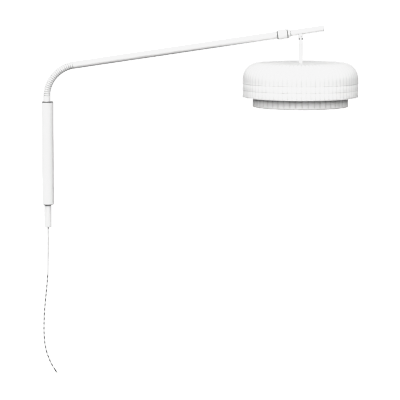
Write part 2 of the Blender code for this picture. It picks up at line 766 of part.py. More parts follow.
def build_drum_screw(name, frame, place, turn):
    """A pan-head screw driven inwards, its own Z pointing out of the drum."""
    profile = [
        (0.0, 0.0022),
        (0.0026, 0.0020),
        (0.0036, 0.0012),
        (0.0036, GAP),
        (0.0018, GAP),
        (0.0018, -0.0065),
        (0.0, -0.0065),
    ]
    turned(name, profile, BARE_STEEL, frame, 8, False, place, turn)


def build_diffuser(frame):
    radius = DRUM_RADIUS - DRUM_WALL - 0.001
    height = DRUM_BOTTOM + DRUM_WALL + GAP + DIFFUSER_THICKNESS / 2
    rod("opal_diffuser", radius, DIFFUSER_THICKNESS, OPAL, frame, (0, 0, height), steps=SHADE_STEPS)


def build_lamp_holder(frame):
    """The holder on the nipple's end and the bulb screwed into it."""
    socket_bore = 0.0145
    socket_top = HOLDER_BOTTOM + SOCKET_DEPTH
    holder = [
        (0.0105, HOLDER_TOP),
        (0.0160, HOLDER_TOP - 0.0017),
        (0.0178, HOLDER_TOP - 0.0067),
        (0.0190, HOLDER_TOP - 0.022),
        (0.0190, HOLDER_BOTTOM),
        (socket_bore, HOLDER_BOTTOM),
        (socket_bore, socket_top),
        (STEM_BORE, socket_top),
        (STEM_BORE, HOLDER_TOP),
    ]
    turned("lamp_holder", holder, WHITE_PLASTIC, frame)
    cap_bottom = HOLDER_BOTTOM + 0.0023
    cap_radius = 0.0132
    cap = [
        (0.0, BULB_TOP),
        (0.0060, BULB_TOP),
        (cap_radius, BULB_TOP - 0.0042),
        (cap_radius, cap_bottom),
        (0.0, cap_bottom),
    ]
    turned("bulb_cap", cap, BARE_STEEL, frame, SMALL_STEPS, hollow=False)
    neck_top = cap_bottom - GAP
    globe_radius = 0.0225
    globe_centre = neck_top - 0.040
    globe = [(0.0, neck_top), (0.0130, neck_top), (0.0135, neck_top - 0.0080)]
    globe += arc(globe_radius, 50, -90, 8, (0.0, globe_centre))
    globe[-1] = (0.0, globe_centre - globe_radius)
    turned("bulb_globe", globe, OPAL, frame, TUBE_STEPS, hollow=False)


# ---------------------------------------------------------------- cord

def build_cord(frame):
    """The free cord, its end sleeve and the three stripped cores, all in the lamp's own axes."""
    route = smooth_route(CORD_ROUTE, ROUTE_SAMPLES)
    to_lamp = (-WALL_OFFSET, 0, 0)
    tube_along("supply_cord", route, CORD_RADIUS, CORD_BRAID, frame, LEAD_BEVEL_RESOLUTION, place=to_lamp)
    direction = (route[-1] - route[-2]).normalized()
    turn = direction.to_track_quat("Z", "Y").to_euler()
    sleeve_length = 0.009
    sleeve_radius = CORD_RADIUS + 0.0003
    sleeve_place = route[-1] + direction * (GAP + sleeve_length / 2) + Vector(to_lamp)
    rod("cord_end_sleeve", sleeve_radius, sleeve_length, BLACK_RUBBER, frame, sleeve_place, turn, 12)
    core_frame = joint_frame("core_root", (0, 0, 0))
    core_frame.parent = frame
    core_frame.location = sleeve_place + direction * (sleeve_length / 2 + GAP)
    core_frame.rotation_euler = turn
    cores = (("live_core", LIVE_BROWN), ("neutral_core", NEUTRAL_BLUE), ("earth_core", EARTH_GREEN))
    for index, (name, material) in enumerate(cores):
        angle = index * 2 * math.pi / len(cores)
        out = Vector((math.cos(angle), math.sin(angle), 0.0))
        start = out * 0.0014
        middle = start + Vector((0, 0, 0.002))
        end = out * 0.0028 + Vector((0, 0, 0.008))
        tube_along(name, [start, middle, end], CORE_RADIUS, material, core_frame, LEAD_BEVEL_RESOLUTION)


def build_sconce():
    axis = (WALL_OFFSET, 0, 0)
    corner = (WALL_OFFSET, 0, ARM_CORNER_HEIGHT)
    pin = (WALL_OFFSET + HANGER_REACH, 0, PIN_HEIGHT)
    wall = joint_frame("wall_fixing", axis)
    swing = joint_frame("arm_swing_axis", axis, wall)
    arm_line = joint_frame("arm_line", corner, swing, ARM_PITCH)
    nut_axis = joint_frame("locking_nut_axis", corner, arm_line, ARM_PITCH)
    slide = joint_frame("extension_slide", corner, arm_line, ARM_PITCH)
    hanger = joint_frame("hanger", pin, slide)
    pendant = joint_frame("shade_pivot", pin, hanger)

    build_wall_sleeve(wall)
    build_access_plug("upper_access_plug", wall, SCREW_SPACING / 2)
    build_access_plug("lower_access_plug", wall, -SCREW_SPACING / 2)
    build_bushes(wall)

    build_arm_tube(swing)
    build_retaining_ring(swing)
    build_arm_end(swing)
    build_cord(swing)
    build_collar(arm_line)
    build_locking_nut(nut_axis)

    build_inner_tube(slide, hanger)
    build_hanger(hanger, slide)

    build_stem(pendant)
    build_outer_shade(pendant)
    build_shade_fixings(pendant)
    build_spider_and_drum(pendant)
    build_diffuser(pendant)
    build_lamp_holder(pendant)


build_sconce()
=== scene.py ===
"""Looks of the swing arm wall sconce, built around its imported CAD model.

Metres, +Z up, in the CAD model's own frame: the wall is at X = 0 and the arm reaches out along +X.
"""

import json
import math

import bmesh
import bpy
from mathutils import Matrix, Vector


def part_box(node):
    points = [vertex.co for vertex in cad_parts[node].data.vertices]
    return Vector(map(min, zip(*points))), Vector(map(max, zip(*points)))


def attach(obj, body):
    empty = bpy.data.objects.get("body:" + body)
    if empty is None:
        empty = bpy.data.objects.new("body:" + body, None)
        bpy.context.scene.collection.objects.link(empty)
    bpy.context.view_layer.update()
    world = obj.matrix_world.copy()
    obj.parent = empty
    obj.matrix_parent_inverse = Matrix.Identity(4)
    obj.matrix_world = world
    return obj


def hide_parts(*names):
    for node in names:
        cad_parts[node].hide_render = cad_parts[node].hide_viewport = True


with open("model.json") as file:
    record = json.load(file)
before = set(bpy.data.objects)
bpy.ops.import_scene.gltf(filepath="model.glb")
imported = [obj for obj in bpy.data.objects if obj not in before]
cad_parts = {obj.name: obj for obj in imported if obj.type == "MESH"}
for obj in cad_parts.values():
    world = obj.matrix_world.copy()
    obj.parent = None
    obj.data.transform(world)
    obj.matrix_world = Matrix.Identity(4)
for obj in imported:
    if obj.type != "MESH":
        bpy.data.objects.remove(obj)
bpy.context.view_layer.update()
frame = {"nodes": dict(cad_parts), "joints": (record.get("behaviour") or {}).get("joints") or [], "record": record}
JOINTS = {joint["name"]: joint for joint in frame["joints"]}

# ---------------------------------------------------------------- camera

CAMERA_AIM = Vector((0.5999, 0.0, -0.1792))
CAMERA_DISTANCE = 7.55
CAMERA_PITCH = math.radians(7.1)
CAMERA_LENS = 177.876
SENSOR_WIDTH = 36.0


def build_camera():
    """A long lens square to the arm, looking a little down."""
    data = bpy.data.cameras.new("camera")
    data.lens = CAMERA_LENS
    data.sensor_width = SENSOR_WIDTH
    data.clip_end = 300.0
    camera = bpy.data.objects.new("camera", data)
    back = Vector((0.0, -math.cos(CAMERA_PITCH), math.sin(CAMERA_PITCH)))
    camera.location = CAMERA_AIM + CAMERA_DISTANCE * back
    camera.rotation_euler = (math.pi / 2 - CAMERA_PITCH, 0.0, 0.0)
    bpy.context.scene.collection.objects.link(camera)
    bpy.context.scene.camera = camera


build_camera()

# ---------------------------------------------------------------- shared lines

# The supply cord's route, the same points as in the CAD model
CORD_ROUTE = [
    (0.0190, 0.000, -0.2896),
    (0.0190, 0.000, -0.3026),
    (0.0190, 0.000, -0.3336),
    (0.0187, 0.000, -0.3640),
    (0.0181, -0.001, -0.3953),
    (0.0171, -0.003, -0.4340),
    (0.0154, -0.006, -0.4723),
    (0.0126, -0.011, -0.5110),
    (0.0090, -0.019, -0.5478),
    (0.0058, -0.029, -0.5860),
    (0.0039, -0.041, -0.6214),
    (0.0034, -0.052, -0.6560),
    (0.0042, -0.061, -0.6876),
    (0.0070, -0.068, -0.7173),
    (0.0118, -0.073, -0.7434),
    (0.0178, -0.077, -0.7640),
    (0.0262, -0.080, -0.7850),
    (0.0361, -0.083, -0.8045),
    (0.0470, -0.085, -0.8215),
]


def smooth_route(points, samples):
    """Points on a Catmull-Rom curve through the route's own points."""
    route = [Vector(point) for point in points]
    route = [2 * route[0] - route[1]] + route + [2 * route[-1] - route[-2]]
    smooth = []
    for before, start, end, after in zip(route, route[1:], route[2:], route[3:]):
        for sample in range(samples):
            t = sample / samples
            bend = 2 * before - 5 * start + 4 * end - after
            twist = -before + 3 * start - 3 * end + after
            smooth.append(start + 0.5 * t * ((end - before) + bend * t + twist * t * t))
    smooth.append(route[-2])
    return smooth


def line_length(points):
    return sum((end - start).length for start, end in zip(points, points[1:]))


def even_points(points, spacing):
    """The same line with points close to an even spacing apart."""
    count = max(1, round(line_length(points) / spacing))
    step = line_length(points) / count
    even = [points[0].copy()]
    travelled = 0.0
    for start, end in zip(points, points[1:]):
        stretch = (end - start).length
        while len(even) < count and travelled + stretch >= step * len(even):
            even.append(start.lerp(end, (step * len(even) - travelled) / stretch))
        travelled += stretch
    even.append(points[-1].copy())
    return even


# The swing axis, the arm's sloping centre line from its virtual corner, and the pendant's upright line
SWING_X = JOINTS["arm_swing"]["pos_m"][0]
ARM_AXIS = Vector(JOINTS["arm_extension"]["axis"]).normalized()
ARM_PITCH = math.atan2(ARM_AXIS.x, ARM_AXIS.z)
NUT_PLACE = Vector(JOINTS["nut_turn"]["pos_m"])
ARM_CORNER = NUT_PLACE + ARM_AXIS * ((SWING_X - NUT_PLACE.x) / ARM_AXIS.x)
PIN_PLACE = Vector(JOINTS["shade_swing"]["pos_m"])
SWING_LINE = Matrix.Translation((SWING_X, 0, 0))
ARM_LINE = Matrix.Translation(ARM_CORNER) @ Matrix.Rotation(ARM_PITCH, 4, "Y")
PENDANT_LINE = Matrix.Translation(PIN_PLACE)


def span(node, line):
    """A CAD node's lowest and highest place along a line, and its greatest radius about the line."""
    to_line = line.inverted()
    corners = [to_line @ vertex.co for vertex in frame["nodes"][node].data.vertices]
    heights = [corner.z for corner in corners]
    return min(heights), max(heights), max(corner.xy.length for corner in corners)


# Gap between fitted faces, and radii that several pieces share
GAP = 0.0003
ARM_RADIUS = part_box("arm_tube")[1].y
INNER_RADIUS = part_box("inner_tube")[1].y
TUBE_WALL = 0.0015
SLEEVE_BORE = 0.016
PIN_HOLE_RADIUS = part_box("pivot_pin")[1].y + GAP
STEM_BORE = 0.0053

# ---------------------------------------------------------------- materials

class Nodes:
    """A short way to write one material's node tree."""

    def __init__(self, name):
        self.material = bpy.data.materials.new(name)
        self.material.use_nodes = True
        self.tree = self.material.node_tree
        self.shader = self.tree.nodes["Principled BSDF"]
        coordinates = self.tree.nodes.new("ShaderNodeTexCoord")
        self.place = coordinates.outputs["Object"]
        self.uv = coordinates.outputs["UV"]

    def add(self, kind, inputs=None, **settings):
        node = self.tree.nodes.new(kind)
        for name, value in settings.items():
            setattr(node, name, value)
        for name, value in (inputs or {}).items():
            self.put(node.inputs[name], value)
        return node

    def put(self, socket, value):
        if isinstance(value, bpy.types.NodeSocket):
            self.tree.links.new(value, socket)
        else:
            socket.default_value = value

    def noise(self, scale, detail=2.0, roughness=0.5, vector=None):
        inputs = {"Vector": vector or self.place, "Scale": scale, "Detail": detail, "Roughness": roughness}
        return self.add("ShaderNodeTexNoise", inputs).outputs["Fac"]

    def math(self, operation, first, second=0.0):
        return self.add("ShaderNodeMath", {0: first, 1: second}, operation=operation).outputs[0]

    def spread(self, value, low, high, new_low, new_high):
        """Map a value's range from low and high to new ones, and hold it within them."""
        inputs = {"Value": value, "From Min": low, "From Max": high, "To Min": new_low, "To Max": new_high}
        return self.add("ShaderNodeMapRange", inputs).outputs["Result"]

    def mix(self, factor, first, second):
        node = self.add("ShaderNodeMix", data_type="RGBA")
        self.put(node.inputs["Factor"], factor)
        for socket, value in ((node.inputs[6], first), (node.inputs[7], second)):
            self.put(socket, value if isinstance(value, bpy.types.NodeSocket) else (*value, 1.0))
        return node.outputs[2]

    def bump(self, height, distance, strength=1.0, normal=None):
        inputs = {"Height": height, "Distance": distance, "Strength": strength}
        if normal:
            inputs["Normal"] = normal
        return self.add("ShaderNodeBump", inputs).outputs["Normal"]

    def finish(self, **sockets):
        """Set the shader's sockets by their names, with spaces as underscores."""
        for name, value in sockets.items():
            socket = self.shader.inputs[name.replace("_", " ")]
            is_colour = isinstance(value, tuple) and len(value) == 3 and socket.type == "RGBA"
            self.put(socket, (*value, 1.0) if is_colour else value)
        return self.material


def shade_of(colour, factor):
    return tuple(channel * factor for channel in colour)


def powder_coat(name, colour, roughness, grain=1500.0, relief=0.00006):
    """Baked powder paint: a fine even grain, with a slight cloudiness and a few duller patches."""
    nodes = Nodes(name)
    clouds = nodes.spread(nodes.noise(9.0, 3.0), 0.35, 0.65, 0.0, 1.0)
    speckle = nodes.spread(nodes.noise(2600.0, 1.0), 0.3, 0.7, 0.0, 0.25)
    base = nodes.mix(clouds, colour, shade_of(colour, 0.985))
    base = nodes.mix(speckle, base, shade_of(colour, 0.96))
    gloss = nodes.spread(nodes.noise(60.0, 4.0), 0.3, 0.7, roughness - 0.05, roughness + 0.06)
    normal = nodes.bump(nodes.noise(grain, 2.0), relief)
    return nodes.finish(Base_Color=base, Roughness=gloss, Normal=normal)


def paint_with_shaded_underside(name, colour, underside_shade_colour, height, roughness):
    """Powder paint above a height, and below it a darker colour as painted shade on the underside."""
    nodes = Nodes(name)
    up = nodes.add("ShaderNodeSeparateXYZ", {"Vector": nodes.place}).outputs["Z"]
    edge = nodes.math("ADD", up, nodes.math("MULTIPLY", nodes.noise(600.0, 2.0), 0.0003))
    # Painted shade: below the height the colour turns dark where the underside falls in shade.
    painted_underside_shade = nodes.spread(edge, height - 0.0002, height + 0.0002, 1.0, 0.0)
    speckle = nodes.spread(nodes.noise(2600.0, 1.0), 0.3, 0.7, 0.0, 0.35)
    base = nodes.mix(speckle, nodes.mix(painted_underside_shade, colour, underside_shade_colour), shade_of(colour, 0.9))
    gloss = nodes.spread(nodes.noise(60.0, 4.0), 0.3, 0.7, roughness - 0.05, roughness + 0.06)
    normal = nodes.bump(nodes.noise(1500.0, 2.0), 0.00006)
    return nodes.finish(Base_Color=base, Roughness=gloss, Normal=normal)


def paint_with_valley_shade(name, colour, valley_shade_colour, roughness):
    """Powder paint that is greyer down in the valleys between flutes or ripples, as painted shade."""
    nodes = Nodes(name)
    valley = nodes.add("ShaderNodeAttribute", attribute_name="valley").outputs["Fac"]
    clouds = nodes.spread(nodes.noise(7.0, 3.0), 0.35, 0.65, 0.0, 1.0)
    base = nodes.mix(clouds, colour, shade_of(colour, 0.985))
    # Painted shade: the valley attribute darkens the colour in valleys, grooves and the drum's rolled rim.
    painted_shade = nodes.math("MULTIPLY", valley, nodes.spread(nodes.noise(40.0, 2.0), 0.3, 0.7, 0.8, 1.0))
    base = nodes.mix(painted_shade, base, valley_shade_colour)
    gloss = nodes.spread(nodes.noise(60.0, 4.0), 0.3, 0.7, roughness - 0.05, roughness + 0.06)
    normal = nodes.bump(nodes.noise(1500.0, 2.0), 0.00005)
    return nodes.finish(Base_Color=base, Roughness=gloss, Normal=normal)


def moulded_plastic(name, colour, roughness, grain=700.0, relief=0.00005):
    """Injection-moulded plastic: fine spark grain and faint flow marks."""
    nodes = Nodes(name)
    flow = nodes.spread(nodes.noise(120.0, 5.0, 0.6), 0.3, 0.7, 0.0, 1.0)
    base = nodes.mix(flow, colour, shade_of(colour, 0.88))
    gloss = nodes.spread(nodes.noise(300.0, 3.0), 0.3, 0.7, roughness - 0.07, roughness + 0.07)
    normal = nodes.bump(nodes.noise(grain, 3.0), relief)
    return nodes.finish(Base_Color=base, Roughness=gloss, Normal=normal)


def turned_steel(name, colour, roughness):
    """Zinc-plated steel with fine turning marks and a few dull patches."""
    nodes = Nodes(name)
    patches = nodes.spread(nodes.noise(180.0, 4.0), 0.35, 0.7, 0.0, 1.0)
    base = nodes.mix(patches, colour, shade_of(colour, 0.8))
    gloss = nodes.spread(nodes.noise(420.0, 3.0), 0.3, 0.7, roughness - 0.06, roughness + 0.12)
    marks = nodes.add("ShaderNodeTexWave", {"Vector": nodes.place, "Scale": 900.0, "Distortion": 2.0})
    normal = nodes.bump(marks.outputs["Fac"], 0.00002)
    return nodes.finish(Base_Color=base, Roughness=gloss, Normal=normal, Metallic=1.0)


def opal_plastic(name, colour, roughness):
    """Opal acrylic: a milky sheet with a soft depth and a barely uneven surface."""
    nodes = Nodes(name)
    milk = nodes.spread(nodes.noise(14.0, 3.0), 0.3, 0.7, 0.0, 1.0)
    base = nodes.mix(milk, colour, shade_of(colour, 0.97))
    gloss = nodes.spread(nodes.noise(90.0, 3.0), 0.3, 0.7, roughness - 0.05, roughness + 0.05)
    normal = nodes.bump(nodes.noise(220.0, 2.0), 0.00004)
    return nodes.finish(
        Base_Color=base, Roughness=gloss, Normal=normal,
        Subsurface_Weight=0.35, Subsurface_Radius=(0.012, 0.012, 0.011), Subsurface_Scale=1.0)


def braid(name, colour, fleck, roughness):
    """Textile braid: fine crossed yarns in the bump, and a few flecks."""
    nodes = Nodes(name)
    separate = nodes.add("ShaderNodeSeparateXYZ", {"Vector": nodes.uv})
    around = separate.outputs["X"]
    along = separate.outputs["Y"]
    yarns = 0.0
    for direction in (1.0, -1.0):
        turned_by = nodes.math("MULTIPLY", around, 300.0)
        advanced_by = nodes.math("MULTIPLY", along, 9000.0 * direction)
        ridge = nodes.math("SINE", nodes.math("ADD", turned_by, advanced_by))
        yarns = nodes.math("MAXIMUM", ridge, yarns) if yarns else ridge
    flecks = nodes.spread(nodes.noise(1300.0, 2.0), 0.45, 0.7, 0.0, 1.0)
    base = nodes.mix(flecks, colour, fleck)
    normal = nodes.bump(yarns, 0.00005)
    return nodes.finish(
        Base_Color=base, Roughness=roughness, Normal=normal, Sheen_Weight=0.25, Sheen_Roughness=0.6)


WHITE = (0.86, 0.86, 0.855)
SLEEVE_PAINT = powder_coat("sleeve_powder_coat", WHITE, 0.48)
TUBE_PAINT = powder_coat("tube_powder_coat", WHITE, 0.44)
# The stem's paint is a darker copy of the tube's white, as painted shade.
STEM_PAINT = powder_coat("stem_powder_coat_painted_shade", (0.74, 0.74, 0.735), 0.44)
# The fork turns near-black just below the pin as painted shade on its rounded cheek undersides.
FORK_PAINT = paint_with_shaded_underside("fork_paint_with_painted_shade", WHITE, (0.10, 0.10, 0.10), PIN_PLACE.z - 0.0008, 0.44)
# These three paints grey their valleys and grooves as painted shade.
BENT_PAINT = paint_with_valley_shade("bent_tube_powder_coat", WHITE, (0.28, 0.28, 0.28), 0.44)
SHADE_PAINT = paint_with_valley_shade("outer_shade_powder_coat", (0.88, 0.88, 0.875), (0.62, 0.62, 0.62), 0.55)
# The drum's paint is a little lighter than the outer shade's, as painted light on its lower band.
DRUM_PAINT = paint_with_valley_shade("inner_drum_powder_coat", (0.90, 0.90, 0.895), (0.50, 0.49, 0.48), 0.55)
BLACK_PLASTIC = moulded_plastic("black_acetal", (0.009, 0.009, 0.009), 0.55)
WHITE_PLASTIC = moulded_plastic("white_nylon", (0.82, 0.82, 0.81), 0.4)
# Grey nylon for the end cap, darker than white as painted shade on its end face.
GREY_PLASTIC = moulded_plastic("grey_nylon_painted_shade", (0.42, 0.42, 0.42), 0.45)
BLACK_RUBBER = moulded_plastic("black_rubber", (0.03, 0.03, 0.03), 0.72, 1100.0, 0.00008)
BARE_STEEL = turned_steel("plated_steel", (0.60, 0.61, 0.62), 0.28)
COPPER = turned_steel("copper_strands", (0.78, 0.36, 0.20), 0.3)
OPAL = opal_plastic("opal_acrylic", (0.90, 0.90, 0.885), 0.38)
BULB_OPAL = opal_plastic("opal_bulb", (0.93, 0.92, 0.90), 0.25)
CORD_LIGHT = braid("cord_braid_light", (0.64, 0.64, 0.63), (0.52, 0.52, 0.51), 0.85)
CORD_FLECK = braid("cord_braid_fleck", (0.015, 0.015, 0.015), (0.035, 0.035, 0.035), 0.85)
CORE_BROWN = moulded_plastic("core_brown", (0.16, 0.06, 0.025), 0.42)
CORE_BLUE = moulded_plastic("core_blue", (0.03, 0.12, 0.42), 0.42)
CORE_GREEN = moulded_plastic("core_green_yellow", (0.30, 0.42, 0.05), 0.42)

SLOT_MATERIALS = {
    "sleeve_paint": SLEEVE_PAINT,
    "tube_paint": TUBE_PAINT,
    "shade_paint": SHADE_PAINT,
    "black_plastic": BLACK_PLASTIC,
    "white_plastic": WHITE_PLASTIC,
    "grey_plastic": GREY_PLASTIC,
    "black_rubber": BLACK_RUBBER,
    "bare_steel": BARE_STEEL,
    "opal_acrylic": OPAL,
    "bulb_opal": BULB_OPAL,
    "cord_braid": CORD_LIGHT,
    "lead_sheath": WHITE_PLASTIC,
    "core_brown": CORE_BROWN,
    "core_blue": CORE_BLUE,
    "core_green": CORE_GREEN,
}

# ---------------------------------------------------------------- mesh helpers

ROUND_STEPS = 96
SMALL_STEPS = 48


def add_piece(name, mesh, body, slot, nodes, materials=None, sharp=math.radians(35)):
    """Add a finished mesh, in world coordinates, as a piece that stands for CAD nodes on one body."""
    piece = bpy.data.objects.new(name, mesh)
    for material in materials or [SLOT_MATERIALS[slot]]:
        mesh.materials.append(material)
    mesh.shade_smooth()
    mesh.set_sharp_from_angle(angle=sharp)
    bpy.context.scene.collection.objects.link(piece)
    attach(piece, body)
    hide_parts(*nodes)
    return piece


def loft(name, rings, line=None, closed=False):
    """A skin over rings of points. A closed loft joins its last ring to its first, others get end caps."""
    steps = len(rings[0])
    vertices = [point for ring in rings for point in ring]
    faces = []
    pairs = list(range(len(rings))) if closed else list(range(len(rings) - 1))
    for row in pairs:
        here = row * steps
        there = (row + 1) % len(rings) * steps
        for column in range(steps):
            beside = (column + 1) % steps
            faces.append((here + column, here + beside, there + beside, there + column))
    if not closed:
        for ring_start in (0, (len(rings) - 1) * steps):
            centre = len(vertices)
            ring = vertices[ring_start:ring_start + steps]
            vertices.append(sum((Vector(point) for point in ring), Vector()) / steps)
            for column in range(steps):
                faces.append((ring_start + column, ring_start + (column + 1) % steps, centre))
    mesh = bpy.data.meshes.new(name)
    mesh.from_pydata(vertices, [], faces)
    shape = bmesh.new()
    shape.from_mesh(mesh)
    bmesh.ops.recalc_face_normals(shape, faces=shape.faces)
    shape.to_mesh(mesh)
    shape.free()
    if line:
        mesh.transform(line)
    return mesh


def add_valleys(mesh, valleys):
    """Say how much painted shade each corner gets, from 0 to 1, mostly by how deep in a valley it is. Corners left
    out are at 0.
    """
    attribute = mesh.attributes.new("valley", "FLOAT", "POINT")
    padded = valleys + [0.0] * (len(mesh.vertices) - len(valleys))
    attribute.data.foreach_set("value", padded)


def even_angles(steps):
    return [2 * math.pi * step / steps for step in range(steps)]


def turned_rings(profile, angles):
    return [[(r * math.cos(a), r * math.sin(a), z) for a in angles] for r, z in profile]


def turned(name, corners, line, steps=ROUND_STEPS, closed=True):
    """Turn a profile of (radius, height, rounding) corners. An open profile is capped at both ends."""
    return loft(name, turned_rings(rounded(corners, closed), even_angles(steps)), line, closed)


def rounded(corners, closed=True, steps=4):
    """Points along a profile whose (radius, height, rounding) corners are rounded off."""
    points = []
    count = len(corners)
    for index, (r, z, rounding) in enumerate(corners):
        corner = Vector((r, z))
        at_end = not closed and index in (0, count - 1)
        if rounding == 0 or at_end:
            points.append((r, z))
            continue
        towards = [Vector(corners[place % count][:2]) - corner for place in (index - 1, index + 1)]
        before, after = (way.normalized() * rounding for way in towards)
        has_room = [way.length > 2.5 * rounding for way in towards]
        if has_room[0]:
            points.append(tuple(corner + before * 1.2))
        for step in range(steps + 1):
            t = step / steps
            points.append(tuple(corner + before * (1 - t) ** 2 + after * t ** 2))
        if has_room[1]:
            points.append(tuple(corner + after * 1.2))
    return points


def tube_rings(points, radii, steps, turns_per_metre=0.0):
    """Rings square to a line of points, carried along it without twist, or with a stated twist."""
    rings = []
    side = None
    travelled = 0.0
    for index, point in enumerate(points):
        before = points[max(index - 1, 0)]
        after = points[min(index + 1, len(points) - 1)]
        forward = (after - before).normalized()
        if side is None:
            side = forward.orthogonal().normalized()
        else:
            travelled += (point - before).length
        side = (side - forward * side.dot(forward)).normalized()
        across = forward.cross(side)
        ring = []
        for step in range(steps):
            angle = 2 * math.pi * (step / steps + travelled * turns_per_metre)
            radius = radii[index][step] if isinstance(radii[index], list) else radii[index]
            ring.append(point + side * (radius * math.cos(angle)) + across * (radius * math.sin(angle)))
        rings.append(ring)
    return rings


def flatten_back(mesh, plane_x, rounding):
    """Press a mesh flat behind an upright plane, with a small rounding where the flat begins."""
    for vertex in mesh.vertices:
        depth = vertex.co.x - plane_x
        if depth < -rounding:
            vertex.co.x = plane_x
        elif depth < rounding:
            vertex.co.x = plane_x + (depth + rounding) ** 2 / (4 * rounding)


def cut(mesh, tools, operation="DIFFERENCE"):
    """Cut tool meshes from a mesh, or join them to it, and return the result."""
    blank = bpy.data.objects.new("blank", mesh)
    bpy.context.scene.collection.objects.link(blank)
    helpers = [blank]
    for tool in tools:
        helper = bpy.data.objects.new("tool", tool)
        bpy.context.scene.collection.objects.link(helper)
        helpers.append(helper)
        modifier = blank.modifiers.new("cut", "BOOLEAN")
        modifier.operation = operation
        modifier.solver = "EXACT"
        modifier.object = helper
    depsgraph = bpy.context.evaluated_depsgraph_get()
    result = bpy.data.meshes.new_from_object(blank.evaluated_get(depsgraph))
    result.materials.clear()
    result.name = mesh.name
    for helper in helpers:
        bpy.data.objects.remove(helper, do_unlink=True)
    return result


def rod_mesh(radius, start, end, steps=SMALL_STEPS):
    """A plain round bar from one point to another."""
    return loft("rod", tube_rings([Vector(start), Vector(end)], [radius, radius], steps))


def box_mesh(size, line):
    mesh = bpy.data.meshes.new("box")
    shape = bmesh.new()
    bmesh.ops.create_cube(shape, size=1.0, matrix=Matrix.Diagonal((*size, 1.0)))
    shape.to_mesh(mesh)
    shape.free()
    mesh.transform(line)
    return mesh


# ---------------------------------------------------------------- cord

CORD_DIAMETER = 0.006
CORD_STEPS = 32
CORD_ROW = 0.0005
CARRIERS = 8
LAY_LENGTH = 0.0178
FLECK_PITCH = 0.0181
FLECK_LENGTH = 0.0092
FLECK_START = 0.175
ZIGZAGS = 6
ZIGZAG_DEPTH = 0.0022
BRAID_RELIEF = 0.00016


def braid_radius(column, travelled):
    """The cord's radius on a braid of crossed strands, each passing over one and under the next."""
    along_strand = column / CORD_STEPS * CARRIERS
    across_strand = along_strand + 2 * CARRIERS * travelled / LAY_LENGTH
    over = (math.floor(along_strand) + math.floor(across_strand)) % 2
    position = (along_strand if over else across_strand) % 1.0
    hump = 1.0 - (2.0 * position - 1.0) ** 2
    return CORD_DIAMETER / 2 - BRAID_RELIEF * (1.0 - hump)


def in_fleck(column, travelled):
    """Whether a place on the cord is in one of the braid's dark flecks, whose edges zigzag round it."""
    around = column / CORD_STEPS + travelled / LAY_LENGTH
    zigzag = ZIGZAG_DEPTH * abs(2 * (around * ZIGZAGS % 1.0) - 1)
    return travelled > FLECK_START and (travelled + zigzag) % FLECK_PITCH < FLECK_LENGTH


def build_cord_mesh(name, points):
    rows = len(points)
    spacing = line_length(points) / (rows - 1)
    radii = [[braid_radius(column, row * spacing) for column in range(CORD_STEPS)] for row in range(rows)]
    mesh = loft(name, tube_rings(points, radii, CORD_STEPS, 1 / LAY_LENGTH))
    coordinates = mesh.uv_layers.new(name="braid")
    for face in mesh.polygons:
        columns = [mesh.loops[loop].vertex_index % CORD_STEPS for loop in face.loop_indices]
        wraps = max(columns) - min(columns) > CORD_STEPS / 2
        for loop, column in zip(face.loop_indices, columns):
            row = mesh.loops[loop].vertex_index // CORD_STEPS
            shown = column + CORD_STEPS if wraps and column < CORD_STEPS / 2 else column
            coordinates.data[loop].uv = (shown / CORD_STEPS, row * spacing)
        row = mesh.loops[face.loop_indices[0]].vertex_index // CORD_STEPS
        face.material_index = 1 if in_fleck(columns[0], row * spacing) else 0
    return mesh


def build_cord():
    """The free supply cord, its gland, and its end sleeve with the stripped cores."""
    route = smooth_route(CORD_ROUTE, 3)
    points = even_points(smooth_route(CORD_ROUTE, 12), CORD_ROW)
    mesh = build_cord_mesh("supply_cord_braid", points)
    cord = add_piece(
        "supply_cord_braid", mesh, "arm", "cord_braid", ["supply_cord"], [CORD_LIGHT, CORD_FLECK], math.pi)
    on_cord = [build_gland(), build_end_sleeve(route)]
    on_cord += [build_core(name, route) for name in ("live_core", "neutral_core", "earth_core")]


def build_gland():
    """A ribbed rubber gland that tapers towards the cord."""
    bottom, top, radius = span("cord_gland", SWING_LINE)
    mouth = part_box("stub_plug")[0].z
    tip = 0.0034
    corners = [(0.0008, top, 0.0), (0.0030, top, 0.0003), (radius, top - 0.002, 0.0003), (radius, mouth, 0.0)]
    ribs = 4
    pitch = (mouth - bottom) / ribs
    for rib in range(ribs):
        height = mouth - rib * pitch
        crest = radius + (tip - radius) * rib / ribs
        corners.append((crest, height - 0.25 * pitch, 0.0002))
        corners.append((crest - 0.0004, height - 0.75 * pitch, 0.0002))
    corners += [(tip, bottom, 0.0002), (0.0008, bottom, 0.0)]
    mesh = turned("gland", corners, SWING_LINE, SMALL_STEPS, closed=False)
    return add_piece("cord_gland_ribbed", mesh, "arm", "black_rubber", ["cord_gland"])


def cord_end_line(route, node):
    """A frame at a CAD node on the cord's end, its Z along the cord's last direction."""
    direction = (route[-1] - route[-2]).normalized()
    low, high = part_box(node)
    centre = (low + high) / 2
    centre = route[-1] + direction * (centre - route[-1]).dot(direction)
    return Matrix.Translation(centre) @ direction.to_track_quat("Z", "Y").to_matrix().to_4x4()


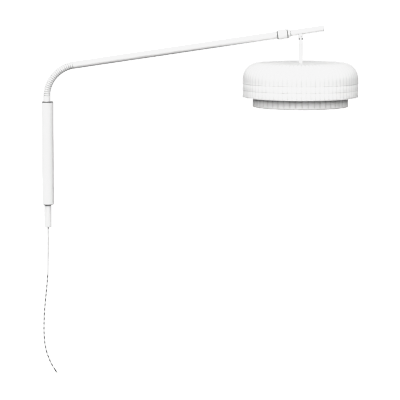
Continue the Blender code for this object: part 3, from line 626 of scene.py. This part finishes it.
def build_end_sleeve(route):
    """The heat-shrunk sleeve that binds the braid's cut end."""
    line = cord_end_line(route, "cord_end_sleeve")
    bottom, top, radius = span("cord_end_sleeve", line)
    waist = radius - 0.00015
    corners = [
        (0.0005, bottom, 0.0),
        (radius, bottom, 0.0004),
        (radius, bottom + 0.002, 0.0004),
        (waist, bottom + 0.003, 0.0006),
        (waist, top - 0.003, 0.0006),
        (radius, top - 0.001, 0.0005),
        (radius - 0.0006, top, 0.0004),
        (0.0005, top, 0.0),
    ]
    mesh = turned("end_sleeve", corners, line, SMALL_STEPS, closed=False)
    return add_piece("cord_end_sleeve_shrunk", mesh, "arm", "black_rubber", ["cord_end_sleeve"])


def core_line(node):
    """The centre line of a CAD core, from the centres of its rings of corners."""
    corners = [vertex.co for vertex in frame["nodes"][node].data.vertices]
    direction = (Vector(CORD_ROUTE[-1]) - Vector(CORD_ROUTE[-2])).normalized()
    places = sorted(corners, key=lambda corner: corner.dot(direction))
    count = len(places) // 3
    groups = (places[:count], places[count:-count], places[-count:])
    return [sum(group, Vector()) / len(group) for group in groups]


def build_core(node, route):
    """One insulated core with its bare copper tip."""
    start, middle, end = core_line(node)
    bare = 0.45
    tip_start = middle.lerp(end, bare)
    points = smooth_route([start, middle, tip_start], 6)
    insulation = 0.0009
    copper = 0.00062
    copper_points = [tip_start + (end - tip_start) * (0.08 * step) for step in range(1, 13)]
    rings = tube_rings(points, [insulation] * len(points), 24)
    rings += tube_rings([points[-1]] + copper_points, [copper] * 13, 24)
    mesh = loft(node, rings)
    first_copper_face = len(points) * 24
    for face in mesh.polygons:
        face.material_index = 1 if face.index >= first_copper_face - 24 else 0
    slot = {"live_core": "core_brown", "neutral_core": "core_blue", "earth_core": "core_green"}[node]
    return add_piece(node + "_stripped", mesh, "arm", slot, [node], [SLOT_MATERIALS[slot], COPPER])


# ---------------------------------------------------------------- wall sleeve

def build_sleeve():
    """The D-shaped extrusion with its bore, its two access holes and the screw holes in its back."""
    low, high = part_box("wall_sleeve")
    radius = high.x - SWING_X
    bore = SLEEVE_BORE
    corners = [(radius, high.z, 0.0007), (radius, low.z, 0.0007), (bore, low.z, 0.0004), (bore, high.z, 0.0004)]
    mesh = turned("sleeve", corners, SWING_LINE, 2 * ROUND_STEPS)
    flatten_back(mesh, low.x, 0.0006)
    tools = []
    for plug in ("upper_access_plug", "lower_access_plug"):
        plug_low, plug_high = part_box(plug)
        height = (plug_low.z + plug_high.z) / 2
        hole = (plug_high.z - plug_low.z) / 2 + 0.0003
        tools.append(rod_mesh(hole, (SWING_X + bore / 2, 0, height), (high.x + 0.01, 0, height)))
        tools.append(rod_mesh(0.00225, (-0.005, 0, height), (bore / 2, 0, height)))
    sleeve = cut(mesh, tools)
    add_piece("sleeve_extrusion", sleeve, "wall_mount", "sleeve_paint", ["wall_sleeve"])


def build_access_plug(node):
    """A shallow domed push-in plug with a slot to lever it out."""
    low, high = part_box(node)
    centre = (low + high) / 2
    line = Matrix.Translation((high.x, 0, centre.z)) @ Matrix.Rotation(math.pi / 2, 4, "Y")
    radius = (high.z - low.z) / 2
    depth = high.x - low.x
    corners = [
        (0.0004, 0.0, 0.0),
        (radius * 0.7, -0.0001, 0.001),
        (radius, -0.0007, 0.0004),
        (radius, -0.0022, 0.0),
        (radius - 0.0005, -0.0026, 0.0),
        (radius - 0.0005, -depth, 0.0005),
        (0.0004, -depth, 0.0),
    ]
    mesh = turned("plug", corners, line, SMALL_STEPS, closed=False)
    slot = box_mesh((0.0008, 0.003, 0.0012), line)
    add_piece(node + "_domed", cut(mesh, [slot]), "wall_mount", "white_plastic", [node])


def build_bush(node, flange_up):
    """A flanged bush, the lower one with a square collar below its flange, cut level with the wall behind."""
    low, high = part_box(node)
    line = SWING_LINE if flange_up else SWING_LINE @ Matrix.Rotation(math.pi, 4, "X")
    shoulder, top, radius = span(node, line)
    running = ARM_RADIUS + GAP
    spigot = SLEEVE_BORE - GAP
    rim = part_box("wall_sleeve")[1].z + GAP
    flange = [(radius, rim, 0.0003), (spigot, rim, 0.0)]
    if flange_up:
        lip = [(running, top, 0.0004), (radius, top, 0.0005)]
    else:
        flange_face = rim + 0.0012
        collar = 0.0153
        lip = [
            (running, top, 0.0004),
            (collar, top, 0.0004),
            (collar, flange_face, 0.0),
            (radius, flange_face, 0.0004),
        ]
    corners = lip + flange + [(spigot, shoulder, 0.0006), (running, shoulder, 0.0004)]
    mesh = turned(node, corners, line, 2 * ROUND_STEPS)
    flatten_back(mesh, low.x, 0.0004)
    add_piece(node + "_turned", mesh, "wall_mount", "black_plastic", [node])


# ---------------------------------------------------------------- arm

BEND_RADIUS = 0.120
BEND_STEPS = 264
RIPPLES = 22
RIPPLE_DEPTH = 0.0006
RIPPLE_SHARPNESS = 3


def build_arm():
    """The bent tube. Its bend keeps the shallow ripples of the mandrel that it was formed on."""
    tangent = BEND_RADIUS * math.tan(ARM_PITCH / 2)
    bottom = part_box("arm_tube")[0].z
    end = span("arm_tube", ARM_LINE)[1]
    bend_start = ARM_CORNER.z - tangent
    rim_places = ((0.0, 0.0003), (0.0005, 0.0), (0.0010, 0.0))
    points = [Vector((SWING_X, 0, bottom + place)) for place, _ in rim_places]
    outer = [ARM_RADIUS - drawn_in for _, drawn_in in rim_places]
    valleys = [0.0] * len(points)
    for step in range(BEND_STEPS + 1):
        share = step / BEND_STEPS
        angle = ARM_PITCH * share
        x = SWING_X + BEND_RADIUS * (1 - math.cos(angle))
        points.append(Vector((x, 0, bend_start + BEND_RADIUS * math.sin(angle))))
        ripple = (0.5 - 0.5 * math.cos(2 * math.pi * RIPPLES * share)) ** RIPPLE_SHARPNESS
        outer.append(ARM_RADIUS - RIPPLE_DEPTH * ripple)
        valleys.append(ripple)
    for place, drawn_in in rim_places[::-1]:
        points.append(ARM_LINE @ Vector((0, 0, end - place)))
        outer.append(ARM_RADIUS - drawn_in)
        valleys.append(0.0)
    bore = [ARM_RADIUS - TUBE_WALL] * len(points)
    skin = tube_rings(points, outer, ROUND_STEPS)
    lining = tube_rings(points, bore, ROUND_STEPS)
    mesh = loft("arm", skin + lining[::-1], closed=True)
    # The ripples' valleys get painted shade.
    add_valleys(mesh, [valley for valley in valleys for _ in range(ROUND_STEPS)])
    add_piece("arm_tube_bent", mesh, "arm", "tube_paint", ["arm_tube"], [BENT_PAINT])


def build_stub_plug():
    bottom, top, radius = span("stub_plug", SWING_LINE)
    flange_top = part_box("arm_tube")[0].z - GAP
    hole = 0.0039
    spigot = ARM_RADIUS - TUBE_WALL - GAP
    corners = [
        (spigot, top, 0.0005),
        (spigot, flange_top, 0.0),
        (radius, flange_top, 0.0003),
        (radius, bottom, 0.0007),
        (hole + 0.0004, bottom, 0.0003),
        (hole, bottom + 0.0006, 0.0003),
        (hole, top, 0.0003),
    ]
    mesh = turned("stub_plug", corners, SWING_LINE)
    add_piece("stub_plug_turned", mesh, "arm", "white_plastic", ["stub_plug"])


COLLAR_SPIGOT = 0.0143


def build_collar():
    """The collar and its two rubber rings."""
    start, end, radius = span("clamp_collar", ARM_LINE)
    rear_start, rear_end, rear_radius = span("collar_rear_ring", ARM_LINE)
    front_start, front_end, front_radius = span("collar_front_ring", ARM_LINE)
    face = front_start - GAP
    arm_bore = ARM_RADIUS + GAP
    arm_end = span("arm_tube", ARM_LINE)[1] + GAP
    spigot = COLLAR_SPIGOT
    spigot_bore = COLLAR_SPIGOT - 0.0012
    collar = [
        (spigot, end, 0.0003),
        (spigot, face, 0.0),
        (radius, face, 0.0008),
        (radius, start, 0.0008),
        (arm_bore, start, 0.0003),
        (arm_bore, arm_end, 0.0),
        (spigot_bore, arm_end, 0.0),
        (spigot_bore, end, 0.0003),
    ]
    mesh = turned("collar", collar, ARM_LINE)
    add_piece("clamp_collar_turned", mesh, "arm", "tube_paint", ["clamp_collar"])
    rings = (
        ("collar_rear_ring", arm_bore, rear_start, rear_end, rear_radius),
        ("collar_front_ring", spigot + GAP, front_start, front_end, front_radius),
    )
    for node, bore, low, high, outer in rings:
        corners = [(outer, high, 0.0006), (outer, low, 0.0006), (bore, low, 0.0003), (bore, high, 0.0003)]
        mesh = turned(node, corners, ARM_LINE)
        add_piece(node + "_moulded", mesh, "arm", "black_rubber", [node])


def build_locking_nut():
    """The chamfered nut, the last band of its nose coloured black as painted shade along its end."""
    start, end, radius = span("locking_nut", ARM_LINE)
    collar_end = span("clamp_collar", ARM_LINE)[1]
    grip = INNER_RADIUS + GAP
    nose = 0.0130
    rim_length = 0.0040
    black_nose_length = 0.0014
    thread_end = collar_end + 2 * GAP
    thread_bore = COLLAR_SPIGOT + GAP
    nut = [
        (grip, end, 0.0004),
        (nose, end, 0.0003),
        (nose, end - black_nose_length, 0.0),
        (radius, start + rim_length, 0.0005),
        (radius, start, 0.0005),
        (thread_bore, start, 0.0003),
        (thread_bore, thread_end, 0.0003),
        (grip, thread_end, 0.0003),
    ]
    mesh = turned("nut", nut, ARM_LINE)
    # Painted shade: the nose's last band is black where its end falls in shade.
    to_line = ARM_LINE.inverted()
    for face in mesh.polygons:
        in_black_nose = (to_line @ face.center).z > end - black_nose_length
        face.material_index = 1 if in_black_nose else 0
    add_piece("locking_nut_turned", mesh, "nut", "tube_paint", ["locking_nut"], [TUBE_PAINT, BLACK_RUBBER])


# ---------------------------------------------------------------- inner tube and hanger

def build_inner_tube():
    start, end, radius = span("inner_tube", ARM_LINE)
    bore = radius - TUBE_WALL
    walls = [(radius, end, 0.0003), (radius, start, 0.0005), (bore, start, 0.0003), (bore, end, 0.0003)]
    mesh = turned("inner_tube", walls, ARM_LINE)
    add_piece("inner_tube_drawn", mesh, "extension", "tube_paint", ["inner_tube"])
    cap_start, cap_end, cap_radius = span("end_cap", ARM_LINE)
    plug = bore - GAP
    face = end + GAP
    corners = [
        (0.0008, cap_end, 0.0),
        (cap_radius * 0.8, cap_end - 0.00005, 0.001),
        (cap_radius, cap_end - 0.0003, 0.0004),
        (cap_radius, face, 0.0003),
        (plug, face, 0.0),
        (plug, cap_start, 0.0008),
        (0.0008, cap_start, 0.0),
    ]
    mesh = turned("end_cap", corners, ARM_LINE, closed=False)
    # The cap's grey is painted shade on its end face.
    add_piece("end_cap_moulded", mesh, "extension", "grey_plastic", ["end_cap"])


def across_arm(name, outline, half_width):
    """A prism along X with a given outline of (y, z) points about the pin."""
    return loft(name, [[(x, y, z) for y, z in outline] for x in (-half_width, half_width)], PENDANT_LINE)


def half_round(radius, start, steps=24):
    """Points on half a circle, counted up from a starting angle."""
    angles = [start + math.pi * step / steps for step in range(steps + 1)]
    return [(radius * math.cos(angle), radius * math.sin(angle)) for angle in angles]


def pin_hole():
    reach = Vector((0.015, 0, 0))
    return rod_mesh(PIN_HOLE_RADIUS, PIN_PLACE - reach, PIN_PLACE + reach)


def build_hanger():
    """The fork under the inner tube, its nose rounded about the pin, with its slot and pin."""
    low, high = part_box("hanger_fork")
    radius = (high.x - low.x) / 2
    top = high.z - PIN_PLACE.z
    overrun = 0.001
    body = [(0.0003, top, 0.0), (radius, top, 0.0), (radius, -radius - overrun, 0.0)]
    fork = turned("fork", body + [(0.0003, -radius - overrun, 0.0)], PENDANT_LINE, closed=False)
    nose = half_round(radius, math.pi) + [(radius, top + overrun), (-radius, top + overrun)]
    fork = cut(fork, [across_arm("nose", nose, 2 * radius)], "INTERSECT")
    tube_radius = span("inner_tube", ARM_LINE)[2]
    along = (ARM_LINE.inverted() @ PIN_PLACE).z
    saddle = [ARM_LINE @ Vector((0, 0, along + offset)) for offset in (-0.03, 0.03)]
    slot_top = 0.0075
    slot_height = 0.022
    slot_place = PENDANT_LINE @ Matrix.Translation((0, 0, slot_top - slot_height / 2))
    tools = [
        rod_mesh(tube_radius + GAP, *saddle, steps=ROUND_STEPS),
        box_mesh((0.0066, 0.03, slot_height), slot_place),
        pin_hole(),
    ]
    fork = cut(fork, tools)
    add_piece("hanger_fork_formed", fork, "extension", "tube_paint", ["hanger_fork"], [FORK_PAINT])
    pin_low, pin_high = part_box("pivot_pin")
    half = (pin_high.x - pin_low.x) / 2
    pin_radius = (pin_high.z - pin_low.z) / 2
    corners = [
        (0.0003, half, 0.0),
        (pin_radius, half, 0.0007),
        (pin_radius, -half, 0.0007),
        (0.0003, -half, 0.0),
    ]
    line = PENDANT_LINE @ Matrix.Rotation(math.pi / 2, 4, "Y")
    mesh = turned("pin", corners, line, SMALL_STEPS, closed=False)
    add_piece("pivot_pin_turned", mesh, "extension", "bare_steel", ["pivot_pin"])


def build_stem():
    """The eye on the pin and the stem tube under it."""
    bottom, top, radius = span("stem_eye", PENDANT_LINE)
    shoulder = -0.0126
    shoulder_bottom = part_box("stem_tube")[1].z + GAP - PIN_PLACE.z
    spigot = 0.005
    body = [
        (0.0003, shoulder, 0.0),
        (radius, shoulder, 0.0008),
        (radius, shoulder_bottom, 0.0004),
        (spigot, shoulder_bottom, 0.0),
        (spigot, bottom, 0.0005),
        (0.0003, bottom, 0.0),
    ]
    eye = turned("eye", body, PENDANT_LINE, SMALL_STEPS, closed=False)
    tongue_radius = 0.0065
    half_thickness = 0.003
    outline = half_round(tongue_radius, 0.0)
    outline += [(-tongue_radius, shoulder - 0.001), (tongue_radius, shoulder - 0.001)]
    tongue = across_arm("tongue", outline, half_thickness)
    eye = cut(cut(eye, [tongue], "UNION"), [pin_hole()])
    add_piece("stem_eye_formed", eye, "pendant", "tube_paint", ["stem_eye"])
    low, high, tube_radius = span("stem_tube", PENDANT_LINE)
    bore = STEM_BORE
    walls = [(tube_radius, high, 0.0004), (tube_radius, low, 0.0004), (bore, low, 0.0003), (bore, high, 0.0003)]
    mesh = turned("stem", walls, PENDANT_LINE)
    add_piece("stem_tube_drawn", mesh, "pendant", "tube_paint", ["stem_tube"], [STEM_PAINT])


# ---------------------------------------------------------------- shades

OUTER_FLUTES = 78
OUTER_PHASE = -0.417
OUTER_DEPTH = 0.0011
INNER_FLUTES = 49
INNER_PHASE = -0.125
INNER_DEPTH = 0.0016
FLUTE_PLACES = (0.0, 0.05, 0.12, 0.25, 0.5, 0.75, 0.88, 0.95)
SHADE_WALL = 0.0015
BEAD_HEIGHT = 0.0007
# The outer shade's beads: (height above the rim, how far one stands out, the depth of its groove and its painted
# shade)
BEADS = ((0.0537, 0.0007, 0.0007, 0.8), (0.0290, 0.0005, 0.0005, 0.7), (0.0052, 0.0005, 0.0004, 0.6))


def flute_angles(count, phase):
    """Angles round a shade, closest together at each valley. Flute 0's valley is near the -Y side."""
    angles = []
    waves = []
    for flute in range(count):
        for place in FLUTE_PLACES:
            angles.append(-math.pi / 2 + 2 * math.pi * (flute + phase + place) / count)
            waves.append(abs(2 * place - 1) ** 7)
    return angles, waves


def fluted_shell(name, profile, count, phase, line):
    """Turn an outer profile of (radius, height, flute depth, painted shade) points, with a plain inner wall."""
    angles, waves = flute_angles(count, phase)
    rings = []
    valleys = []
    inner = []
    deepest = max(depth for _, _, depth, _ in profile)
    for index, (r, z, depth, painted_shade) in enumerate(profile):
        before = profile[max(index - 1, 0)]
        after = profile[min(index + 1, len(profile) - 1)]
        along = Vector((after[0] - before[0], after[1] - before[1])).normalized()
        outward = Vector((-along.y, along.x))
        rings.append([
            ((r - outward.x * depth * wave) * math.cos(angle),
             (r - outward.x * depth * wave) * math.sin(angle),
             z - outward.y * depth * wave)
            for angle, wave in zip(angles, waves)])
        valleys += [max(painted_shade, wave * depth / deepest) for wave in waves]
        inner.append((r - outward.x * SHADE_WALL, z - outward.y * SHADE_WALL))
    rings += turned_rings(inner[::-1], angles)
    mesh = loft(name, rings, line, closed=True)
    add_valleys(mesh, valleys)
    return mesh


def fade(value, start, end):
    """0 before the start, 1 after the end, and a smooth rise between."""
    t = min(1.0, max(0.0, (value - start) / (end - start)))
    return t * t * (3 - 2 * t)


def build_outer_shade():
    """The spun shade: flat top, round shoulder, and an upright wall with three beads and a rolled rim."""
    low, high, radius = span("outer_shade", PENDANT_LINE)
    shoulder = 0.060
    flat = radius - shoulder
    round_out = shoulder - BEAD_HEIGHT
    profile = [(r, high, 0.0, 0.0) for r in (STEM_BORE, 0.02, 0.05, 0.08)]
    profile += [(r, high, OUTER_DEPTH * fade(r, 0.075, 0.16), 0.0) for r in (0.10, 0.12, 0.14, flat)]
    turn_steps = 20
    for step in range(1, turn_steps + 1):
        angle = math.pi / 2 * (1 - step / turn_steps)
        height = high - shoulder + shoulder * math.sin(angle)
        profile.append((flat + round_out * math.cos(angle), height, OUTER_DEPTH, 0.0))
    wall_top = high - shoulder
    wall = wall_details(wall_top, low)
    profile += [(radius - depth, height, OUTER_DEPTH * share, painted_shade) for height, depth, share, painted_shade in wall]
    mesh = fluted_shell("outer_shade", profile, OUTER_FLUTES, OUTER_PHASE, PENDANT_LINE)
    add_piece("outer_shade_fluted", mesh, "pendant", "shade_paint", ["outer_shade"], sharp=math.radians(50))


def wall_details(top, bottom):
    """The upright wall's rows: (height, how far it is drawn in, the share of flute depth, painted shade)."""
    base = BEAD_HEIGHT
    rows = [(top - 0.005, base, 1.0, 0.0), (top - 0.010, base, 1.0, 0.0)]
    for distance, height, groove, painted_shade in BEADS:
        bead = bottom + distance
        crest = base - height
        rows += [
            (bead + 0.0028, base, 1.0, 0.0),
            (bead + 0.0020, base, 1.0, 0.0),
            (bead + 0.0008, crest, 1.0, 0.0),
            (bead - 0.0002, crest, 1.0, 0.0),
            # The groove under each bead gets painted shade.
            (bead - 0.0014, base + groove, 1.0, painted_shade),
            (bead - 0.0022, base + groove, 1.0, painted_shade),
            (bead - 0.0032, base, 1.0, 0.0),
        ]
    rim = BEADS[-1][0] - 0.0038
    rows += [(bottom + rim, base, 0.3, 0.0), (bottom + rim - 0.0004, 0.0, 0.0, 0.0)]
    rows += [(bottom + 0.0003, 0.0004, 0.0, 0.0), (bottom, 0.0008, 0.0, 0.0)]
    return rows


def build_inner_drum():
    """The lower tier, with wider flutes and a turned-in lip that the diffuser rests on."""
    low, high, radius = span("inner_drum", PENDANT_LINE)
    lip = 0.005
    rows = 10
    bottom_roll = 0.0025
    profile = [(radius - 0.0004, high, 0.0, 0.0), (radius, high - 0.0006, 0.0, 0.0)]
    for row in range(rows + 1):
        height = high - 0.004 - (high - low - 0.012) * row / rows
        profile.append((radius, height, INNER_DEPTH, 0.0))
    # The flutes' ends and the rolled rim get painted shade, darkest on the rim's downward roll.
    flute_ends = ((0.0080, 1.0, 0.0), (0.0062, 0.4, 0.0), (0.0050, 0.0, 0.1), (0.0042, 0.0, 0.6))
    for height, share, painted_shade in flute_ends:
        profile.append((radius, low + height, INNER_DEPTH * share, painted_shade))
    roll_steps = 6
    for step in range(roll_steps + 1):
        angle = math.pi / 2 * step / roll_steps
        drawn_in = bottom_roll * (1 - math.cos(angle))
        height = low + bottom_roll * (1 - math.sin(angle))
        profile.append((radius - drawn_in, height, 0.0, 1.0))
    profile.append((radius - lip, low, 0.0, 0.0))
    mesh = fluted_shell("inner_drum", profile, INNER_FLUTES, INNER_PHASE, PENDANT_LINE)
    add_piece(
        "inner_drum_fluted", mesh, "pendant", "shade_paint", ["inner_drum"], [DRUM_PAINT], math.radians(50))


def build_diffuser():
    low, high, radius = span("opal_diffuser", PENDANT_LINE)
    corners = [(0.001, high, 0.0), (radius, high, 0.0008), (radius, low, 0.0008), (0.001, low, 0.0)]
    mesh = turned("diffuser", corners, PENDANT_LINE, 2 * ROUND_STEPS, closed=False)
    add_piece("opal_diffuser_disc", mesh, "pendant", "opal_acrylic", ["opal_diffuser"])


# ---------------------------------------------------------------- carried-over nodes

def dress_carried_nodes():
    """Give every CAD node that still shows the material of its slot in the record."""
    for part in frame["record"]["subparts"]:
        node = frame["nodes"].get(part["node"])
        if node is None or node.hide_render:
            continue
        node.data.materials.clear()
        node.data.materials.append(SLOT_MATERIALS[part["material_slot"]])


# ---------------------------------------------------------------- stage

FLOOR_HEIGHT = -1.5
FLOOR_RADIUS = 90.0
FLOOR_GLOW = 1.1
PAPER_WHITE = 1.4
SKY_STRENGTH = 2.5
SKY_AMBIENT = 0.04
SKY_BACK = 0.15
SKY_OVERHEAD = 0.22
KEY_DIRECTION = Vector((0.20, 0.85, -0.42))
KEY_STRENGTH = 1.25
KEY_SPREAD = math.radians(60)
# The film's response to light: (scene light, printed light), both up to the white level
FILM_CURVE = (
    (0.0, 0.0), (0.50, 0.49), (0.78, 0.78), (0.92, 0.895), (1.05, 0.92), (1.30, 0.935), (1.40, 1.02))


def build_floor():
    """A plain pale floor far below, bright enough to print as plain white."""
    mesh = bpy.data.meshes.new("floor")
    shape = bmesh.new()
    bmesh.ops.create_circle(shape, cap_ends=True, segments=64, radius=FLOOR_RADIUS)
    shape.to_mesh(mesh)
    shape.free()
    nodes = Nodes("pale_floor")
    white = (1.0, 1.0, 1.0)
    mesh.materials.append(nodes.finish(
        Base_Color=(0.9, 0.9, 0.9), Roughness=0.9, Specular_IOR_Level=0.0,
        Emission_Color=white, Emission_Strength=FLOOR_GLOW))
    floor = bpy.data.objects.new("floor", mesh)
    floor.location = (0, 0, FLOOR_HEIGHT)
    floor.visible_diffuse = False
    floor.visible_glossy = False
    bpy.context.scene.collection.objects.link(floor)


def build_light():
    """Soft light from the upper front quarter, a wide weak key from the upper left, and little else."""
    key = bpy.data.lights.new("key", "SUN")
    key.energy = KEY_STRENGTH
    key.angle = KEY_SPREAD
    lamp = bpy.data.objects.new("key", key)
    lamp.rotation_euler = KEY_DIRECTION.to_track_quat("-Z", "Y").to_euler()
    bpy.context.scene.collection.objects.link(lamp)

    world = bpy.data.worlds.new("studio")
    bpy.context.scene.world = world
    world.use_nodes = True
    tree = world.node_tree

    def add(kind, **settings):
        node = tree.nodes.new(kind)
        for name, value in settings.items():
            setattr(node, name, value)
        return node

    def ramp(value, low, high, new_low, new_high):
        node = add("ShaderNodeMapRange", interpolation_type="SMOOTHSTEP")
        tree.links.new(value, node.inputs["Value"])
        for name, level in zip(("From Min", "From Max", "To Min", "To Max"), (low, high, new_low, new_high)):
            node.inputs[name].default_value = level
        return node.outputs["Result"]

    def combine(operation, first, second):
        node = add("ShaderNodeMath", operation=operation)
        for socket, value in zip(node.inputs, (first, second)):
            if isinstance(value, bpy.types.NodeSocket):
                tree.links.new(value, socket)
            else:
                socket.default_value = value
        return node.outputs[0]

    direction = add("ShaderNodeSeparateXYZ")
    tree.links.new(add("ShaderNodeTexCoord").outputs["Generated"], direction.inputs[0])
    above = ramp(direction.outputs["Z"], 0.0, 0.2, 0.0, 1.0)
    overhead = ramp(direction.outputs["Z"], 0.25, 0.85, 1.0, SKY_OVERHEAD)
    in_front = ramp(direction.outputs["Y"], 0.8, -0.35, SKY_BACK, 1.0)
    dome = combine("MULTIPLY", combine("MULTIPLY", above, overhead), in_front)
    sky = combine("MULTIPLY", dome, SKY_STRENGTH)
    lit = combine("ADD", sky, SKY_AMBIENT)
    seen = add("ShaderNodeLightPath").outputs["Is Camera Ray"]
    shown = combine("MAXIMUM", lit, combine("MULTIPLY", seen, PAPER_WHITE))
    background = tree.nodes["Background"]
    background.inputs["Color"].default_value = (1.0, 1.0, 1.0, 1.0)
    tree.links.new(shown, background.inputs["Strength"])


def set_film():
    """The photographic response: whites roll off softly below the paper's own white."""
    settings = bpy.context.scene.view_settings
    settings.view_transform = "Standard"
    settings.use_curve_mapping = True
    mapping = settings.curve_mapping
    mapping.white_level = (PAPER_WHITE,) * 3
    mapping.use_clip = False
    curve = mapping.curves[3]
    scaled = [(light / PAPER_WHITE, printed) for light, printed in FILM_CURVE]
    curve.points[0].location = scaled[0]
    curve.points[1].location = scaled[-1]
    for place in scaled[1:-1]:
        curve.points.new(*place)
    mapping.update()


build_cord()
build_sleeve()
build_access_plug("upper_access_plug")
build_access_plug("lower_access_plug")
build_bush("upper_bush", flange_up=True)
build_bush("lower_bush", flange_up=False)
build_arm()
build_stub_plug()
build_collar()
build_locking_nut()
build_inner_tube()
build_hanger()
build_stem()
build_outer_shade()
build_inner_drum()
build_diffuser()
dress_carried_nodes()
build_floor()
build_light()
set_film()
